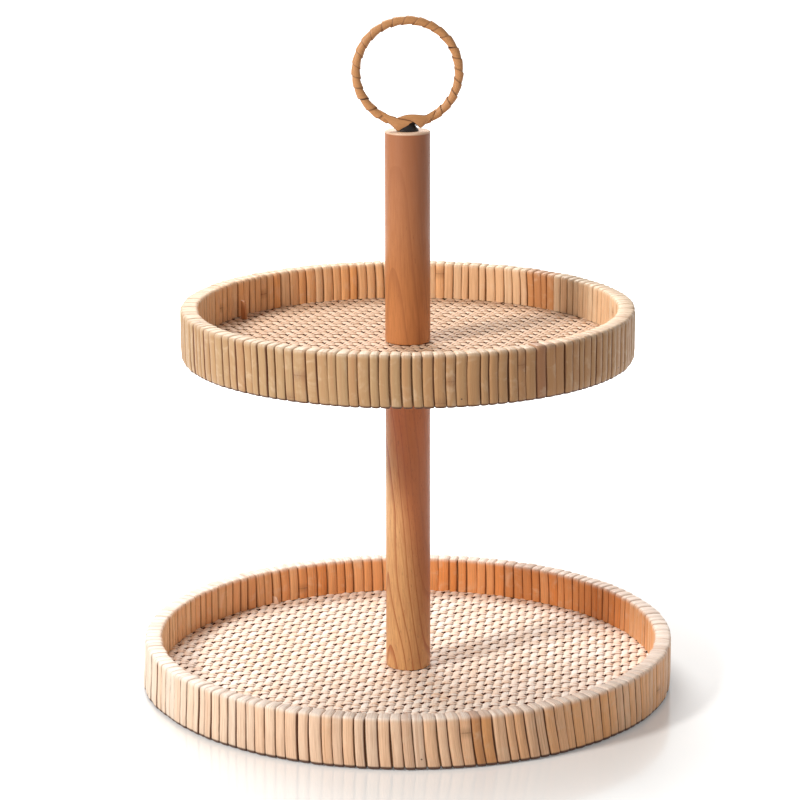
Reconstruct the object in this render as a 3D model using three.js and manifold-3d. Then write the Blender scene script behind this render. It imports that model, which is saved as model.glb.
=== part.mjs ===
// Two-tier tray: two round woven trays on turned wooden posts, with a cane-wrapped ring handle.
// Lengths are in millimetres and +Z is up. The origin is on the table, under the axis of the posts.

import * as THREE from 'three';
import { mergeVertices } from 'three/addons/utils/BufferGeometryUtils.js';
import Module from 'manifold-3d';

const wasm = await Module();
wasm.setup();

// Trays
const LOWER_TRAY_RADIUS = 208.3;
const UPPER_TRAY_RADIUS = 175.5;
const RIM_HEIGHT = 41;
const RIM_THICK = 13.4;
const RIM_SHOULDER_DROP = 4.5;

// Cane strips that are bent over the rims
const LOWER_STRIP_WIDTH = 8.7;
const UPPER_STRIP_WIDTH = 8.0;
const STRIP_THICK = 2.2;
const STRIP_GROOVE = 1.1;

// Floors
const BOARD_RECESS = 5;
const BOARD_THICK = 4;
const WEAVE_THICK = 3;
const WEAVE_ROW_PITCH = 9.5;
const RIDGE_HEIGHT = 1.3;
const RIDGE_TOP_WIDTH = 4.5;
const RIDGE_FOOT_WIDTH = 7.5;
const LOWER_ROW_TURN = THREE.MathUtils.degToRad(12.5);
const UPPER_ROW_TURN = 0;

// Brads that hold each hoop to its board
const BRADS_PER_TRAY = 6;
const BRAD_RADIUS = 0.6;
const BRAD_LENGTH = 18;
const BRAD_HEAD_RADIUS = 1.2;
const BRAD_HEAD_THICK = 0.6;
const BRAD_POINT = 1.5;

// Posts
const POST_RADIUS = 17.5;
const LOWER_POST_LENGTH = 260;
const UPPER_POST_LENGTH = 167;
const POST_CHAMFER = 0.8;
const POST_PILOT_DEPTH = 26;

// Bolt, studs, washer and threaded inserts
const THREAD_RADIUS = 3;
const INSERT_RADIUS = 4.5;
const INSERT_LENGTH = 15;
const STUD_ENGAGEMENT = 16;
const BOLT_ENGAGEMENT = 20;
const BOLT_HEAD_RADIUS = 5.5;
const BOLT_HEAD_THICK = 2.7;
const BOLT_HEAD_ROUNDING = 0.8;
const BOLT_SOCKET_RADIUS = 2.3;
const BOLT_SOCKET_DEPTH = 1.7;
const WASHER_RADIUS = 12;
const WASHER_THICK = 1.5;

// Ring handle
const RING_RADIUS = 39.2;
const RING_ROD_RADIUS = 1.9;
const RING_FOOT_GAP = 2.7;
const FOOT_FLANGE_RADIUS = 8.5;
const FOOT_FLANGE_THICK = 1.2;
const FOOT_NECK_RADIUS = 4.6;

// Cane peel that is wound round the ring
const PEEL_THICK = 0.75;
const PEEL_WIDTH = 8.5;
const PEEL_TURNS = 24;
const PEEL_ROD_GAP = 0.5;
const PEEL_START_LENGTH = 8;

// Clearances
const SEAT_GAP = 0.3;
const THREAD_GAP = 0.2;
const BOLT_HOLE_GAP = 0.5;
const BRAD_GAP = 0.2;
const LEAST_WINDING_GAP = 0.4;

// Facets
const HOOP_SIDES = 42;
const POST_SIDES = 32;
const SMALL_SIDES = 12;
const WASHER_SIDES = 24;
const BRAD_SIDES = 6;
const SOCKET_SIDES = 6;
const RING_STEPS = 40;
const RING_SIDES = 8;
const PEEL_STEPS = 10;

// Heights that follow from the sizes above
const BOARD_HEIGHT = BOARD_RECESS + BOARD_THICK;
const LOWER_POST_FOOT = BOARD_HEIGHT;
const LOWER_POST_TOP = LOWER_POST_FOOT + LOWER_POST_LENGTH;
const UPPER_TRAY_BASE = LOWER_POST_TOP - BOARD_RECESS;
const UPPER_POST_FOOT = UPPER_TRAY_BASE + BOARD_HEIGHT;
const UPPER_POST_TOP = UPPER_POST_FOOT + UPPER_POST_LENGTH;
const PEEL_INNER = RING_ROD_RADIUS + PEEL_ROD_GAP;
const PEEL_OUTER = PEEL_INNER + PEEL_THICK;
const RING_CENTRE = UPPER_POST_TOP + RING_FOOT_GAP + PEEL_OUTER + RING_RADIUS;

// Finishes
const FINISHES = {
  strip: { color: 0xd9b384, roughness: 0.55, metalness: 0 },
  peel: { color: 0xc79a66, roughness: 0.55, metalness: 0 },
  weave: { color: 0xe2c4a4, roughness: 0.6, metalness: 0 },
  hoop: { color: 0x9c6b42, roughness: 0.7, metalness: 0 },
  board: { color: 0xc49a6c, roughness: 0.75, metalness: 0 },
  post: { color: 0xc98f60, roughness: 0.5, metalness: 0 },
  blackSteel: { color: 0x1d1a18, roughness: 0.5, metalness: 0.7 },
  zinc: { color: 0xb4b6b8, roughness: 0.35, metalness: 0.9 },
  brass: { color: 0xb8964e, roughness: 0.4, metalness: 0.9 },
};

const twoTierTray = new THREE.Group();

function addPiece(name, geometry, finish) {
  const mesh = new THREE.Mesh(geometry, new THREE.MeshStandardMaterial(FINISHES[finish]));
  mesh.name = name;
  twoTierTray.add(mesh);
  return mesh;
}

// Solids

const WELD_DISTANCE = 1e-4;

function welded(geometry) {
  geometry.deleteAttribute('normal');
  geometry.deleteAttribute('uv');
  return mergeVertices(geometry, WELD_DISTANCE);
}

// A body turned about Z from [radius, height] points, up the outside and down the inside
// Its first corner lies on +X
function turned(points, sides) {
  const outline = points.map(([radius, height]) => new THREE.Vector2(radius, height));
  const geometry = new THREE.LatheGeometry(outline, sides);
  geometry.rotateX(Math.PI / 2);
  geometry.rotateZ(Math.PI / 2);
  return welded(geometry);
}

function upright(radius, bottom, top, sides) {
  return turned([[0, bottom], [radius, bottom], [radius, top], [0, top]], sides);
}

function toManifold(geometry) {
  const vertProperties = new Float32Array(geometry.attributes.position.array);
  const triVerts = new Uint32Array(geometry.index.array);
  return new wasm.Manifold(new wasm.Mesh({ numProp: 3, vertProperties, triVerts }));
}

function fromManifold(solid) {
  const cut = solid.getMesh();
  const geometry = new THREE.BufferGeometry();
  geometry.setAttribute('position', new THREE.BufferAttribute(new Float32Array(cut.vertProperties), 3));
  geometry.setIndex(new THREE.BufferAttribute(new Uint32Array(cut.triVerts), 1));
  return geometry;
}

function keptInside(geometry, bound) {
  return fromManifold(toManifold(geometry).intersect(toManifold(bound)));
}

function cutAway(geometry, cutters) {
  const solid = cutters.reduce((rest, cutter) => rest.subtract(toManifold(cutter)), toManifold(geometry));
  return fromManifold(solid);
}

// Rim of a tray: the section is the same for both trays
// The strips go round the hoop with a gap, and the hoop fills what they leave of the rim

const STRIP_STAND = STRIP_THICK + SEAT_GAP;
const HOOP_THICK = RIM_THICK - 2 * STRIP_STAND;

// The roofed outline of the rim, taken in by a distance all round
function rimSection(radius, inset, outerEnd, innerEnd) {
  const outer = radius - inset;
  const inner = radius - RIM_THICK + inset;
  const middle = radius - RIM_THICK / 2;
  const top = RIM_HEIGHT - inset;
  const shoulder = top - RIM_SHOULDER_DROP * (outer - middle) / (RIM_THICK / 2);
  return [[outer, outerEnd], [outer, shoulder], [middle, top], [inner, shoulder], [inner, innerEnd]];
}

function hoopOuter(radius) {
  return radius - STRIP_STAND;
}

function hoopInner(radius) {
  return hoopOuter(radius) - HOOP_THICK;
}

// Brads go in half a facet round from a corner of the hoop, square to its faces
function bradAngles() {
  const halfFacet = Math.PI / HOOP_SIDES;
  return Array.from({ length: BRADS_PER_TRAY }, (_, i) => halfFacet + i * 2 * Math.PI / BRADS_PER_TRAY);
}

function bradHeadFace(radius) {
  return hoopOuter(radius) * Math.cos(Math.PI / HOOP_SIDES) - BRAD_GAP;
}

// A shape turned about Z with its top at the origin, laid along a radius with its top outwards
function laidOutwards(geometry, distance, angle, height) {
  geometry.rotateY(Math.PI / 2);
  geometry.translate(distance, 0, height);
  geometry.rotateZ(angle);
  return geometry;
}

function brad() {
  const tip = -BRAD_LENGTH;
  return turned([
    [0, tip],
    [BRAD_RADIUS, tip + BRAD_POINT],
    [BRAD_RADIUS, -BRAD_HEAD_THICK],
    [BRAD_HEAD_RADIUS, -BRAD_HEAD_THICK],
    [BRAD_HEAD_RADIUS, 0],
    [0, 0],
  ], BRAD_SIDES);
}

function bradHole() {
  const deep = -BRAD_LENGTH - BRAD_GAP;
  const sink = -BRAD_HEAD_THICK - BRAD_GAP;
  const mouth = STRIP_STAND;
  return turned([
    [0, deep],
    [BRAD_RADIUS + BRAD_GAP, deep],
    [BRAD_RADIUS + BRAD_GAP, sink],
    [BRAD_HEAD_RADIUS + BRAD_GAP, sink],
    [BRAD_HEAD_RADIUS + BRAD_GAP, mouth],
    [0, mouth],
  ], BRAD_SIDES);
}

function bradHeight(base) {
  return base + BOARD_RECESS + BOARD_THICK / 2;
}

function bradHoles(radius, base) {
  return bradAngles().map((angle) => laidOutwards(bradHole(), bradHeadFace(radius), angle, bradHeight(base)));
}

function hoop(radius, base) {
  const section = rimSection(radius, STRIP_STAND, STRIP_STAND, STRIP_STAND);
  const ring = [...section, section[0]].map(([r, z]) => [r, z + base]);
  return cutAway(turned(ring, HOOP_SIDES), bradHoles(radius, base));
}

function boltHole(base) {
  return upright(THREAD_RADIUS + BOLT_HOLE_GAP, base, base + RIM_HEIGHT, SMALL_SIDES);
}

function board(radius, base) {
  const bottom = base + BOARD_RECESS;
  const disc = upright(hoopInner(radius) - SEAT_GAP, bottom, bottom + BOARD_THICK, HOOP_SIDES);
  return cutAway(disc, [boltHole(base), ...bradHoles(radius, base)]);
}

// Section across the rows of the weave: a sheet from which each row stands up as a ridge
function ridgedSection(reach) {
  const pitch = WEAVE_ROW_PITCH;
  const ridges = 2 * Math.ceil(reach / pitch) + 1;
  const start = -ridges * pitch / 2;
  const valley = WEAVE_THICK - RIDGE_HEIGHT;
  const slope = (RIDGE_FOOT_WIDTH - RIDGE_TOP_WIDTH) / 2;
  const section = [[start, 0], [start, valley]];
  for (let i = 0; i < ridges; i += 1) {
    const foot = start + i * pitch + (pitch - RIDGE_FOOT_WIDTH) / 2;
    section.push([foot, valley], [foot + slope, WEAVE_THICK]);
    section.push([foot + slope + RIDGE_TOP_WIDTH, WEAVE_THICK], [foot + RIDGE_FOOT_WIDTH, valley]);
  }
  section.push([-start, valley], [-start, 0]);
  return section.map(([across, height]) => new THREE.Vector2(across, height));
}

// A sheet with its ridges along X, turned about Z to lie as the rows do
function ridgedSheet(reach, turn, bottom) {
  const length = 2 * reach + WEAVE_ROW_PITCH;
  const shape = new THREE.Shape(ridgedSection(reach));
  const geometry = new THREE.ExtrudeGeometry(shape, { depth: length, bevelEnabled: false });
  geometry.translate(0, 0, -length / 2);
  geometry.rotateX(Math.PI / 2);
  geometry.rotateZ(Math.PI / 2 + turn);
  geometry.translate(0, 0, bottom);
  return welded(geometry);
}

// The weave lies on the board, inside the strips and round the foot of the post
function wovenFloor(radius, base, rowTurn) {
  const bottom = base + BOARD_HEIGHT;
  const past = WEAVE_THICK + SEAT_GAP;
  const reach = radius - RIM_THICK - SEAT_GAP;
  const disc = upright(reach, bottom - past, bottom + past, HOOP_SIDES);
  const round = keptInside(ridgedSheet(reach, rowTurn, bottom), disc);
  return cutAway(round, [upright(POST_RADIUS + SEAT_GAP, bottom - past, bottom + past, POST_SIDES)]);
}

// Band of half-round strips side by side, from under the hoop over its top and down to the board
// Each strip has a crest and shares its grooves, and the back of the band is as plain as the hoop

function stationPoints(sections, base) {
  const points = [];
  sections.forEach((section, i) => {
    const angle = 2 * Math.PI * i / sections.length;
    section.forEach(([r, z]) => points.push(r * Math.cos(angle), r * Math.sin(angle), z + base));
  });
  return points;
}

// Two triangles for each cell between neighbouring stations
function skin(start, stations, pointsEach, outwards) {
  const faces = [];
  for (let i = 0; i < stations; i += 1) {
    const here = start + i * pointsEach;
    const next = start + ((i + 1) % stations) * pointsEach;
    for (let k = 0; k < pointsEach - 1; k += 1) {
      const cell = [[here + k, next + k, next + k + 1], [here + k, next + k + 1, here + k + 1]];
      cell.forEach(([a, b, c]) => faces.push(...(outwards ? [a, b, c] : [a, c, b])));
    }
  }
  return faces;
}

// Triangles between a fine loop and a coarse loop of the same end of the band
function endCap(fineAt, fineCount, coarseAt, coarseCount, flip) {
  const faces = [];
  let fine = 0;
  let coarse = 0;
  while (fine < fineCount || coarse < coarseCount) {
    const fineNext = (fine + 1) / fineCount;
    const coarseNext = (coarse + 1) / coarseCount;
    const stepFine = coarse >= coarseCount || (fine < fineCount && fineNext <= coarseNext);
    const a = fineAt(fine % fineCount);
    const b = coarseAt(coarse % coarseCount);
    const c = stepFine ? fineAt((fine + 1) % fineCount) : coarseAt((coarse + 1) % coarseCount);
    faces.push(...(flip ? [a, c, b] : [a, b, c]));
    fine += stepFine ? 1 : 0;
    coarse += stepFine ? 0 : 1;
  }
  return faces;
}

function stripBand(radius, base, stripWidth) {
  const strips = Math.round(2 * Math.PI * radius / stripWidth);
  const innerEnd = BOARD_HEIGHT + SEAT_GAP;
  const crest = rimSection(radius, 0, 0, innerEnd);
  const groove = rimSection(radius, STRIP_GROOVE, 0, innerEnd);
  const underHoop = [[hoopInner(radius), 0], [hoopInner(radius), STRIP_THICK]];
  const back = [...underHoop, ...rimSection(radius, STRIP_THICK, STRIP_THICK, innerEnd)];
  const fineCount = 2 * strips;
  const fineSections = Array.from({ length: fineCount }, (_, i) => (i % 2 === 0 ? groove : crest));
  const coarseSections = Array.from({ length: HOOP_SIDES }, () => back);
  const coarseStart = fineCount * crest.length;
  const fineFoot = (i) => i * crest.length;
  const fineEnd = (i) => fineFoot(i) + crest.length - 1;
  const coarseFoot = (i) => coarseStart + i * back.length;
  const coarseEnd = (i) => coarseFoot(i) + back.length - 1;
  const faces = [
    ...skin(0, fineCount, crest.length, true),
    ...skin(coarseStart, HOOP_SIDES, back.length, false),
    ...endCap(fineFoot, fineCount, coarseFoot, HOOP_SIDES, false),
    ...endCap(fineEnd, fineCount, coarseEnd, HOOP_SIDES, true),
  ];
  const points = [...stationPoints(fineSections, base), ...stationPoints(coarseSections, base)];
  const geometry = new THREE.BufferGeometry();
  geometry.setAttribute('position', new THREE.Float32BufferAttribute(points, 3));
  geometry.setIndex(faces);
  return geometry;
}

function addTray(name, radius, base, stripWidth, rowTurn) {
  addPiece(`${name}_base_board`, board(radius, base), 'board');
  addPiece(`${name}_woven_floor`, wovenFloor(radius, base, rowTurn), 'weave');
  addPiece(`${name}_rim_hoop`, hoop(radius, base), 'hoop');
  addPiece(`${name}_rim_wrap`, stripBand(radius, base, stripWidth), 'strip');
  bradAngles().forEach((angle, i) => {
    const pin = laidOutwards(brad(), bradHeadFace(radius), angle, bradHeight(base));
    addPiece(`${name}_hoop_brad_${i + 1}`, pin, 'zinc');
  });
}

addTray('lower', LOWER_TRAY_RADIUS, 0, LOWER_STRIP_WIDTH, LOWER_ROW_TURN);
addTray('upper', UPPER_TRAY_RADIUS, UPPER_TRAY_BASE, UPPER_STRIP_WIDTH, UPPER_ROW_TURN);

// Posts, each bored at both ends for a threaded insert and the stud that turns into it

function post(foot, top) {
  const body = turned([
    [0, foot],
    [POST_RADIUS - POST_CHAMFER, foot],
    [POST_RADIUS, foot + POST_CHAMFER],
    [POST_RADIUS, top - POST_CHAMFER],
    [POST_RADIUS - POST_CHAMFER, top],
    [0, top],
  ], POST_SIDES);
  const insertBore = INSERT_RADIUS + SEAT_GAP;
  const insertDepth = INSERT_LENGTH + SEAT_GAP;
  const pilotBore = THREAD_RADIUS + THREAD_GAP;
  const past = POST_CHAMFER;
  return cutAway(body, [
    upright(insertBore, foot - past, foot + insertDepth, SMALL_SIDES),
    upright(pilotBore, foot, foot + POST_PILOT_DEPTH, SMALL_SIDES),
    upright(insertBore, top - insertDepth, top + past, SMALL_SIDES),
    upright(pilotBore, top - POST_PILOT_DEPTH, top, SMALL_SIDES),
  ]);
}

function insert(bottom) {
  const outer = INSERT_RADIUS;
  const inner = THREAD_RADIUS + THREAD_GAP;
  const top = bottom + INSERT_LENGTH;
  return turned([[inner, bottom], [outer, bottom], [outer, top], [inner, top], [inner, bottom]], SMALL_SIDES);
}

addPiece('lower_post', post(LOWER_POST_FOOT, LOWER_POST_TOP), 'post');
addPiece('upper_post', post(UPPER_POST_FOOT, UPPER_POST_TOP), 'post');
addPiece('lower_post_bottom_insert', insert(LOWER_POST_FOOT), 'brass');
addPiece('lower_post_top_insert', insert(LOWER_POST_TOP - INSERT_LENGTH), 'brass');
addPiece('upper_post_bottom_insert', insert(UPPER_POST_FOOT), 'brass');
addPiece('upper_post_top_insert', insert(UPPER_POST_TOP - INSERT_LENGTH), 'brass');

// Bolt and washer under the lower tray, and the stud between the posts

function washer() {
  const inner = THREAD_RADIUS + BOLT_HOLE_GAP;
  const top = BOARD_RECESS;
  const bottom = top - WASHER_THICK;
  return turned([
    [inner, bottom],
    [WASHER_RADIUS, bottom],
    [WASHER_RADIUS, top],
    [inner, top],
    [inner, bottom],
  ], WASHER_SIDES);
}

function baseBolt() {
  const seat = BOARD_RECESS - WASHER_THICK;
  const bottom = seat - BOLT_HEAD_THICK;
  const body = turned([
    [0, bottom],
    [BOLT_HEAD_RADIUS - BOLT_HEAD_ROUNDING, bottom],
    [BOLT_HEAD_RADIUS, bottom + BOLT_HEAD_ROUNDING],
    [BOLT_HEAD_RADIUS, seat],
    [THREAD_RADIUS, seat],
    [THREAD_RADIUS, LOWER_POST_FOOT + BOLT_ENGAGEMENT],
    [0, LOWER_POST_FOOT + BOLT_ENGAGEMENT],
  ], SMALL_SIDES);
  const past = BOLT_HEAD_ROUNDING;
  const socket = upright(BOLT_SOCKET_RADIUS, bottom - past, bottom + BOLT_SOCKET_DEPTH, SOCKET_SIDES);
  return cutAway(body, [socket]);
}

function middleStud() {
  const bottom = LOWER_POST_TOP - STUD_ENGAGEMENT;
  const top = UPPER_POST_FOOT + STUD_ENGAGEMENT;
  return upright(THREAD_RADIUS, bottom, top, SMALL_SIDES);
}

addPiece('base_washer', washer(), 'zinc');
addPiece('base_bolt', baseBolt(), 'zinc');
addPiece('middle_stud', middleStud(), 'zinc');

// Ring handle: a steel ring lies in a saddle in its foot, whose stud turns into the upper post

function ringRod(rodRadius) {
  const ring = new THREE.TorusGeometry(RING_RADIUS, rodRadius, RING_SIDES, RING_STEPS);
  ring.rotateX(Math.PI / 2);
  ring.translate(0, 0, RING_CENTRE);
  return welded(ring);
}

function handleFoot() {
  const flangeTop = UPPER_POST_TOP + FOOT_FLANGE_THICK;
  const neckTop = RING_CENTRE - RING_RADIUS;
  const body = turned([
    [0, UPPER_POST_TOP - STUD_ENGAGEMENT],
    [THREAD_RADIUS, UPPER_POST_TOP - STUD_ENGAGEMENT],
    [THREAD_RADIUS, UPPER_POST_TOP],
    [FOOT_FLANGE_RADIUS, UPPER_POST_TOP],
    [FOOT_FLANGE_RADIUS, flangeTop],
    [FOOT_NECK_RADIUS, neckTop],
    [0, neckTop],
  ], WASHER_SIDES);
  return cutAway(body, [ringRod(RING_ROD_RADIUS + SEAT_GAP)]);
}

// A point on the wrapped ring: along the ring from its foot, then round the rod from its outside
function onRing(along, round, fromRod) {
  const reach = RING_RADIUS + fromRod * Math.cos(round);
  return new THREE.Vector3(
    reach * Math.sin(along),
    fromRod * Math.sin(round),
    RING_CENTRE - reach * Math.cos(along),
  );
}

// The flat section of the peel at each step of its winding, as four corners
function peelSections() {
  const halfWidth = PEEL_WIDTH / 2 / RING_RADIUS;
  const first = PEEL_START_LENGTH / RING_RADIUS + halfWidth;
  const last = 2 * Math.PI - first;
  const steps = PEEL_TURNS * PEEL_STEPS;
  return Array.from({ length: steps + 1 }, (_, i) => {
    const along = first + (last - first) * i / steps;
    const round = 2 * Math.PI * i / PEEL_STEPS;
    return [
      onRing(along - halfWidth, round, PEEL_OUTER),
      onRing(along + halfWidth, round, PEEL_OUTER),
      onRing(along + halfWidth, round, PEEL_INNER),
      onRing(along - halfWidth, round, PEEL_INNER),
    ];
  });
}

function leastGapToItself(sections) {
  const away = PEEL_STEPS / 2;
  let least = Infinity;
  sections.forEach((section, i) => {
    sections.slice(i + away).forEach((other) => {
      section.forEach((p) => other.forEach((q) => { least = Math.min(least, p.distanceTo(q)); }));
    });
  });
  return least;
}

function handleWrap(sections) {
  const corners = 4;
  const faces = [];
  for (let i = 0; i + 1 < sections.length; i += 1) {
    for (let k = 0; k < corners; k += 1) {
      const a = i * corners + k;
      const b = i * corners + (k + 1) % corners;
      faces.push(a, b + corners, b, a, a + corners, b + corners);
    }
  }
  const end = (sections.length - 1) * corners;
  faces.push(0, 1, 2, 0, 2, 3);
  faces.push(end, end + 2, end + 1, end, end + 3, end + 2);
  const geometry = new THREE.BufferGeometry().setFromPoints(sections.flat());
  geometry.setIndex(faces);
  return geometry;
}

const sections = peelSections();
const windingGap = leastGapToItself(sections);
const windingWord = windingGap > LEAST_WINDING_GAP ? 'clear of' : 'closer than';
console.log(`handle_wrap: least gap to itself ${windingGap.toFixed(2)} mm, ${windingWord} the limit`);

addPiece('handle_ring', ringRod(RING_ROD_RADIUS), 'blackSteel');
addPiece('handle_foot', handleFoot(), 'blackSteel');
addPiece('handle_wrap', handleWrap(sections), 'peel');

export default twoTierTray;
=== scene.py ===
import math
import random

import bmesh
import bpy
from mathutils import Matrix, Vector, noise


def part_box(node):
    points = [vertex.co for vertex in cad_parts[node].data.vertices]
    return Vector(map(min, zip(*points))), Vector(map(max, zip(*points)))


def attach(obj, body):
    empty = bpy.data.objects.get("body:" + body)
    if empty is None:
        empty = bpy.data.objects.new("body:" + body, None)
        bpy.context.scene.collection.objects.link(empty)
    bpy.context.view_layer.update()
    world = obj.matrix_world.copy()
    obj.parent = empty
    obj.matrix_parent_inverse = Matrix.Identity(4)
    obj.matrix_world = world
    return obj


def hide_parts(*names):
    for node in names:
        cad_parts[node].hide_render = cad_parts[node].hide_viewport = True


bl_info = {
    "name": "Two-tier cane tray",
    "version": (1, 0, 0),
    "blender": (4, 5, 0),
    "location": "View3D > Sidebar > Tray",
    "description": "Builds a two-tier tray of cane, woven rattan and turned wood round its CAD frame",
    "category": "Object",
}

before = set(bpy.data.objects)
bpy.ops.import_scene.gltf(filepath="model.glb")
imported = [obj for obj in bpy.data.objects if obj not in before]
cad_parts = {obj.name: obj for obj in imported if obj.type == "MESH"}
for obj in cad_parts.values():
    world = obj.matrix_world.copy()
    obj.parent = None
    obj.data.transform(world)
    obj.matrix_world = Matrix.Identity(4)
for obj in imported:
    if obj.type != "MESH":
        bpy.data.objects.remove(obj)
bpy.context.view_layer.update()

MM = 0.001
LOWER = "lower"
UPPER = "upper"

# Places that come from the frame

LOWER_WRAP_LOW, LOWER_WRAP_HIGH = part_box("lower_rim_wrap")
UPPER_WRAP_LOW, UPPER_WRAP_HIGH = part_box("upper_rim_wrap")
LOWER_POST_LOW, LOWER_POST_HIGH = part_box("lower_post")
UPPER_POST_LOW, UPPER_POST_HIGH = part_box("upper_post")
RING_LOW, RING_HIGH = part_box("handle_ring")

TRAY_RADIUS = {LOWER: LOWER_WRAP_HIGH.y, UPPER: UPPER_WRAP_HIGH.y}
TRAY_BASE = {LOWER: LOWER_WRAP_LOW.z, UPPER: UPPER_WRAP_LOW.z}
RIM_HEIGHT = LOWER_WRAP_HIGH.z - LOWER_WRAP_LOW.z
BOARD_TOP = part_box("lower_woven_floor")[0].z
POST_RADIUS = LOWER_POST_HIGH.x
POST_TOP = UPPER_POST_HIGH.z
RING_CENTRE = (RING_LOW.z + RING_HIGH.z) / 2
RING_ROD = RING_HIGH.y
RING_RADIUS = RING_HIGH.x - RING_ROD
FLANGE_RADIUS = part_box("handle_foot")[1].x

# How far the posts step in to the spigot that passes through the weave

SPIGOT_STEP = 4.5 * MM


# Settings that a user would change


def measure(name, description, mm):
    return bpy.props.FloatProperty(
        name=name, description=description, default=mm * MM, subtype="DISTANCE", unit="LENGTH")


def slant(name, description, radians):
    return bpy.props.FloatProperty(
        name=name, description=description, default=radians, subtype="ANGLE", unit="ROTATION")


def portion(name, description, default):
    return bpy.props.FloatProperty(
        name=name, description=description, default=default, subtype="FACTOR", min=0.3, max=1.0)


def amount(name, description, default, subtype="NONE"):
    return bpy.props.FloatProperty(
        name=name, description=description, default=default, min=0, subtype=subtype)


def how_many(name, description, default, least):
    return bpy.props.IntProperty(name=name, description=description, default=default, min=least)


def tint(name, description, red, green, blue):
    return bpy.props.FloatVectorProperty(
        name=name, description=description, default=(red, green, blue, 1), subtype="COLOR", size=4)


class RimSettings(bpy.types.PropertyGroup):
    lower_strips: how_many("Lower strips", "Cane strips round the lower tray", 150, 24)
    upper_strips: how_many("Upper strips", "Cane strips round the upper tray", 138, 24)
    strip_thickness: measure("Strip thickness", "Thickness of a strip at its crest", 2.2)
    strip_fall: measure("Strip fall", "How far a strip's long edges lie below its crest", 1.1)
    strip_stop: measure("Strip stop", "From the board up to the inner ends of the strips", 2.6)
    rim_thickness: measure("Rim thickness", "From the outer crests to the inner crests", 13.4)
    foot_tuck: measure("Foot tuck", "How far the strips run in under the hoop", 8.7)
    top_rounding: measure("Top rounding", "Radius of the turned upper edges", 2.5)
    foot_fall: measure("Foot fall", "How much thinner a strip is at its foot", 1.1)
    foot_rounding: measure("Foot rounding", "Radius of the turned lower edge", 1.1)
    left_flare: measure("Left flare", "How far the feet of the lower tray's left strips stand out", 3.0)
    pieces_round: how_many("Pieces round", "Pieces that each rim is kept in", 6, 1)
    seed: how_many("Seed", "Seed of the strips' small differences", 7, 0)
    # Painted light in part: the lower tray's tints are paler and the upper tray's outer tints darker than the
    # cane's own tone, for the stronger light low down, and the upper tray's inner tints are lighter than its outer
    # ones, for light bounced inside it
    lower_straw: tint("Lower straw", "Pale cane outside the lower tray", 0.89, 0.76, 0.62)
    lower_tan: tint("Lower tan", "Darker cane outside the lower tray", 0.98, 0.45, 0.155)
    lower_inner_straw: tint("Lower inner straw", "Pale cane inside the lower tray", 1.0, 0.66, 0.37)
    lower_inner_tan: tint("Lower inner tan", "Darker cane inside the lower tray", 0.82, 0.285, 0.07)
    upper_straw: tint("Upper straw", "Pale cane outside the upper tray", 0.455, 0.305, 0.155)
    upper_tan: tint("Upper tan", "Darker cane outside the upper tray", 0.50, 0.25, 0.10)
    upper_inner_straw: tint("Upper inner straw", "Pale cane inside the upper tray", 0.84, 0.65, 0.43)
    upper_inner_tan: tint("Upper inner tan", "Darker cane inside the upper tray", 0.94, 0.45, 0.165)
    russet: tint("Russet", "Stained cane", 0.33, 0.125, 0.05)
    groove: tint("Groove", "Dust and shade between strips", 0.13, 0.042, 0.014)


class FloorSettings(bpy.types.PropertyGroup):
    row_pitch: measure("Row pitch", "From one woven row to the next", 9.6)
    stake_pitch: measure("Stake pitch", "From one stake to the next, along a row", 6.95)
    row_thickness: measure("Row thickness", "Thickness of a row's strands", 0.95)
    stake_thickness: measure("Stake thickness", "Thickness of a stake at its crest", 1.3)
    row_wave: measure("Row wave", "How far a row rises and falls from its middle height", 1.0)
    stake_wave: measure("Stake wave", "How far a stake rises and falls from its middle height", 0.15)
    pair_share: portion("Pair share", "Share of the row pitch that a row's two strands fill", 0.95)
    stake_share: portion("Stake share", "Share of the stake pitch that a stake fills", 0.97)
    strand_roll: slant("Strand roll", "How far the stakes roll towards the skew", math.radians(2))
    lower_row_turn: slant("Lower row turn", "Turn of the lower rows from the X axis", math.radians(13.3))
    upper_row_turn: slant("Upper row turn", "Turn of the upper rows from the X axis", 0.0)
    skew: slant("Skew", "How far the stakes lean from square to the rows", math.radians(17.3))
    # Painted light in part: the lower floor's tints are paler than the upper floor's, for the stronger light low
    # down
    lower_pale: tint("Lower pale", "Peeled rattan of the lower floor", 1.0, 0.94, 0.87)
    lower_deep: tint("Lower deep", "Darker peeled rattan of the lower floor", 0.90, 0.68, 0.51)
    upper_pale: tint("Upper pale", "Peeled rattan of the upper floor", 0.76, 0.57, 0.42)
    upper_deep: tint("Upper deep", "Darker peeled rattan of the upper floor", 0.62, 0.41, 0.26)
    depths: tint("Depths", "Dust and shade down between the strands", 0.05, 0.010, 0.003)


class PostSettings(bpy.types.PropertyGroup):
    foot_rise: measure("Foot rise", "From the board to the foot that stands on the weave", 2.8)
    edge_rounding: measure("Edge rounding", "Rounding of the posts' ends", 0.9)
    lower_light: tint("Lower light", "Pale wood of the lower post", 0.76, 0.43, 0.178)
    # Painted shadow in part: the lower heartwood tint also darkens the top of the lower post, in the upper tray's
    # shadow, and its right side
    lower_heart_and_shadow: tint("Lower heart", "Redder heartwood of the lower post", 0.475, 0.128, 0.034)
    lower_dark: tint("Lower dark", "Grain lines of the lower post", 0.37, 0.095, 0.028)
    upper_light: tint("Upper light", "Pale wood of the upper post", 0.66, 0.275, 0.093)
    upper_heart: tint("Upper heart", "Redder heartwood of the upper post", 0.33, 0.115, 0.047)
    upper_dark: tint("Upper dark", "Grain lines of the upper post", 0.33, 0.112, 0.04)


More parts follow.
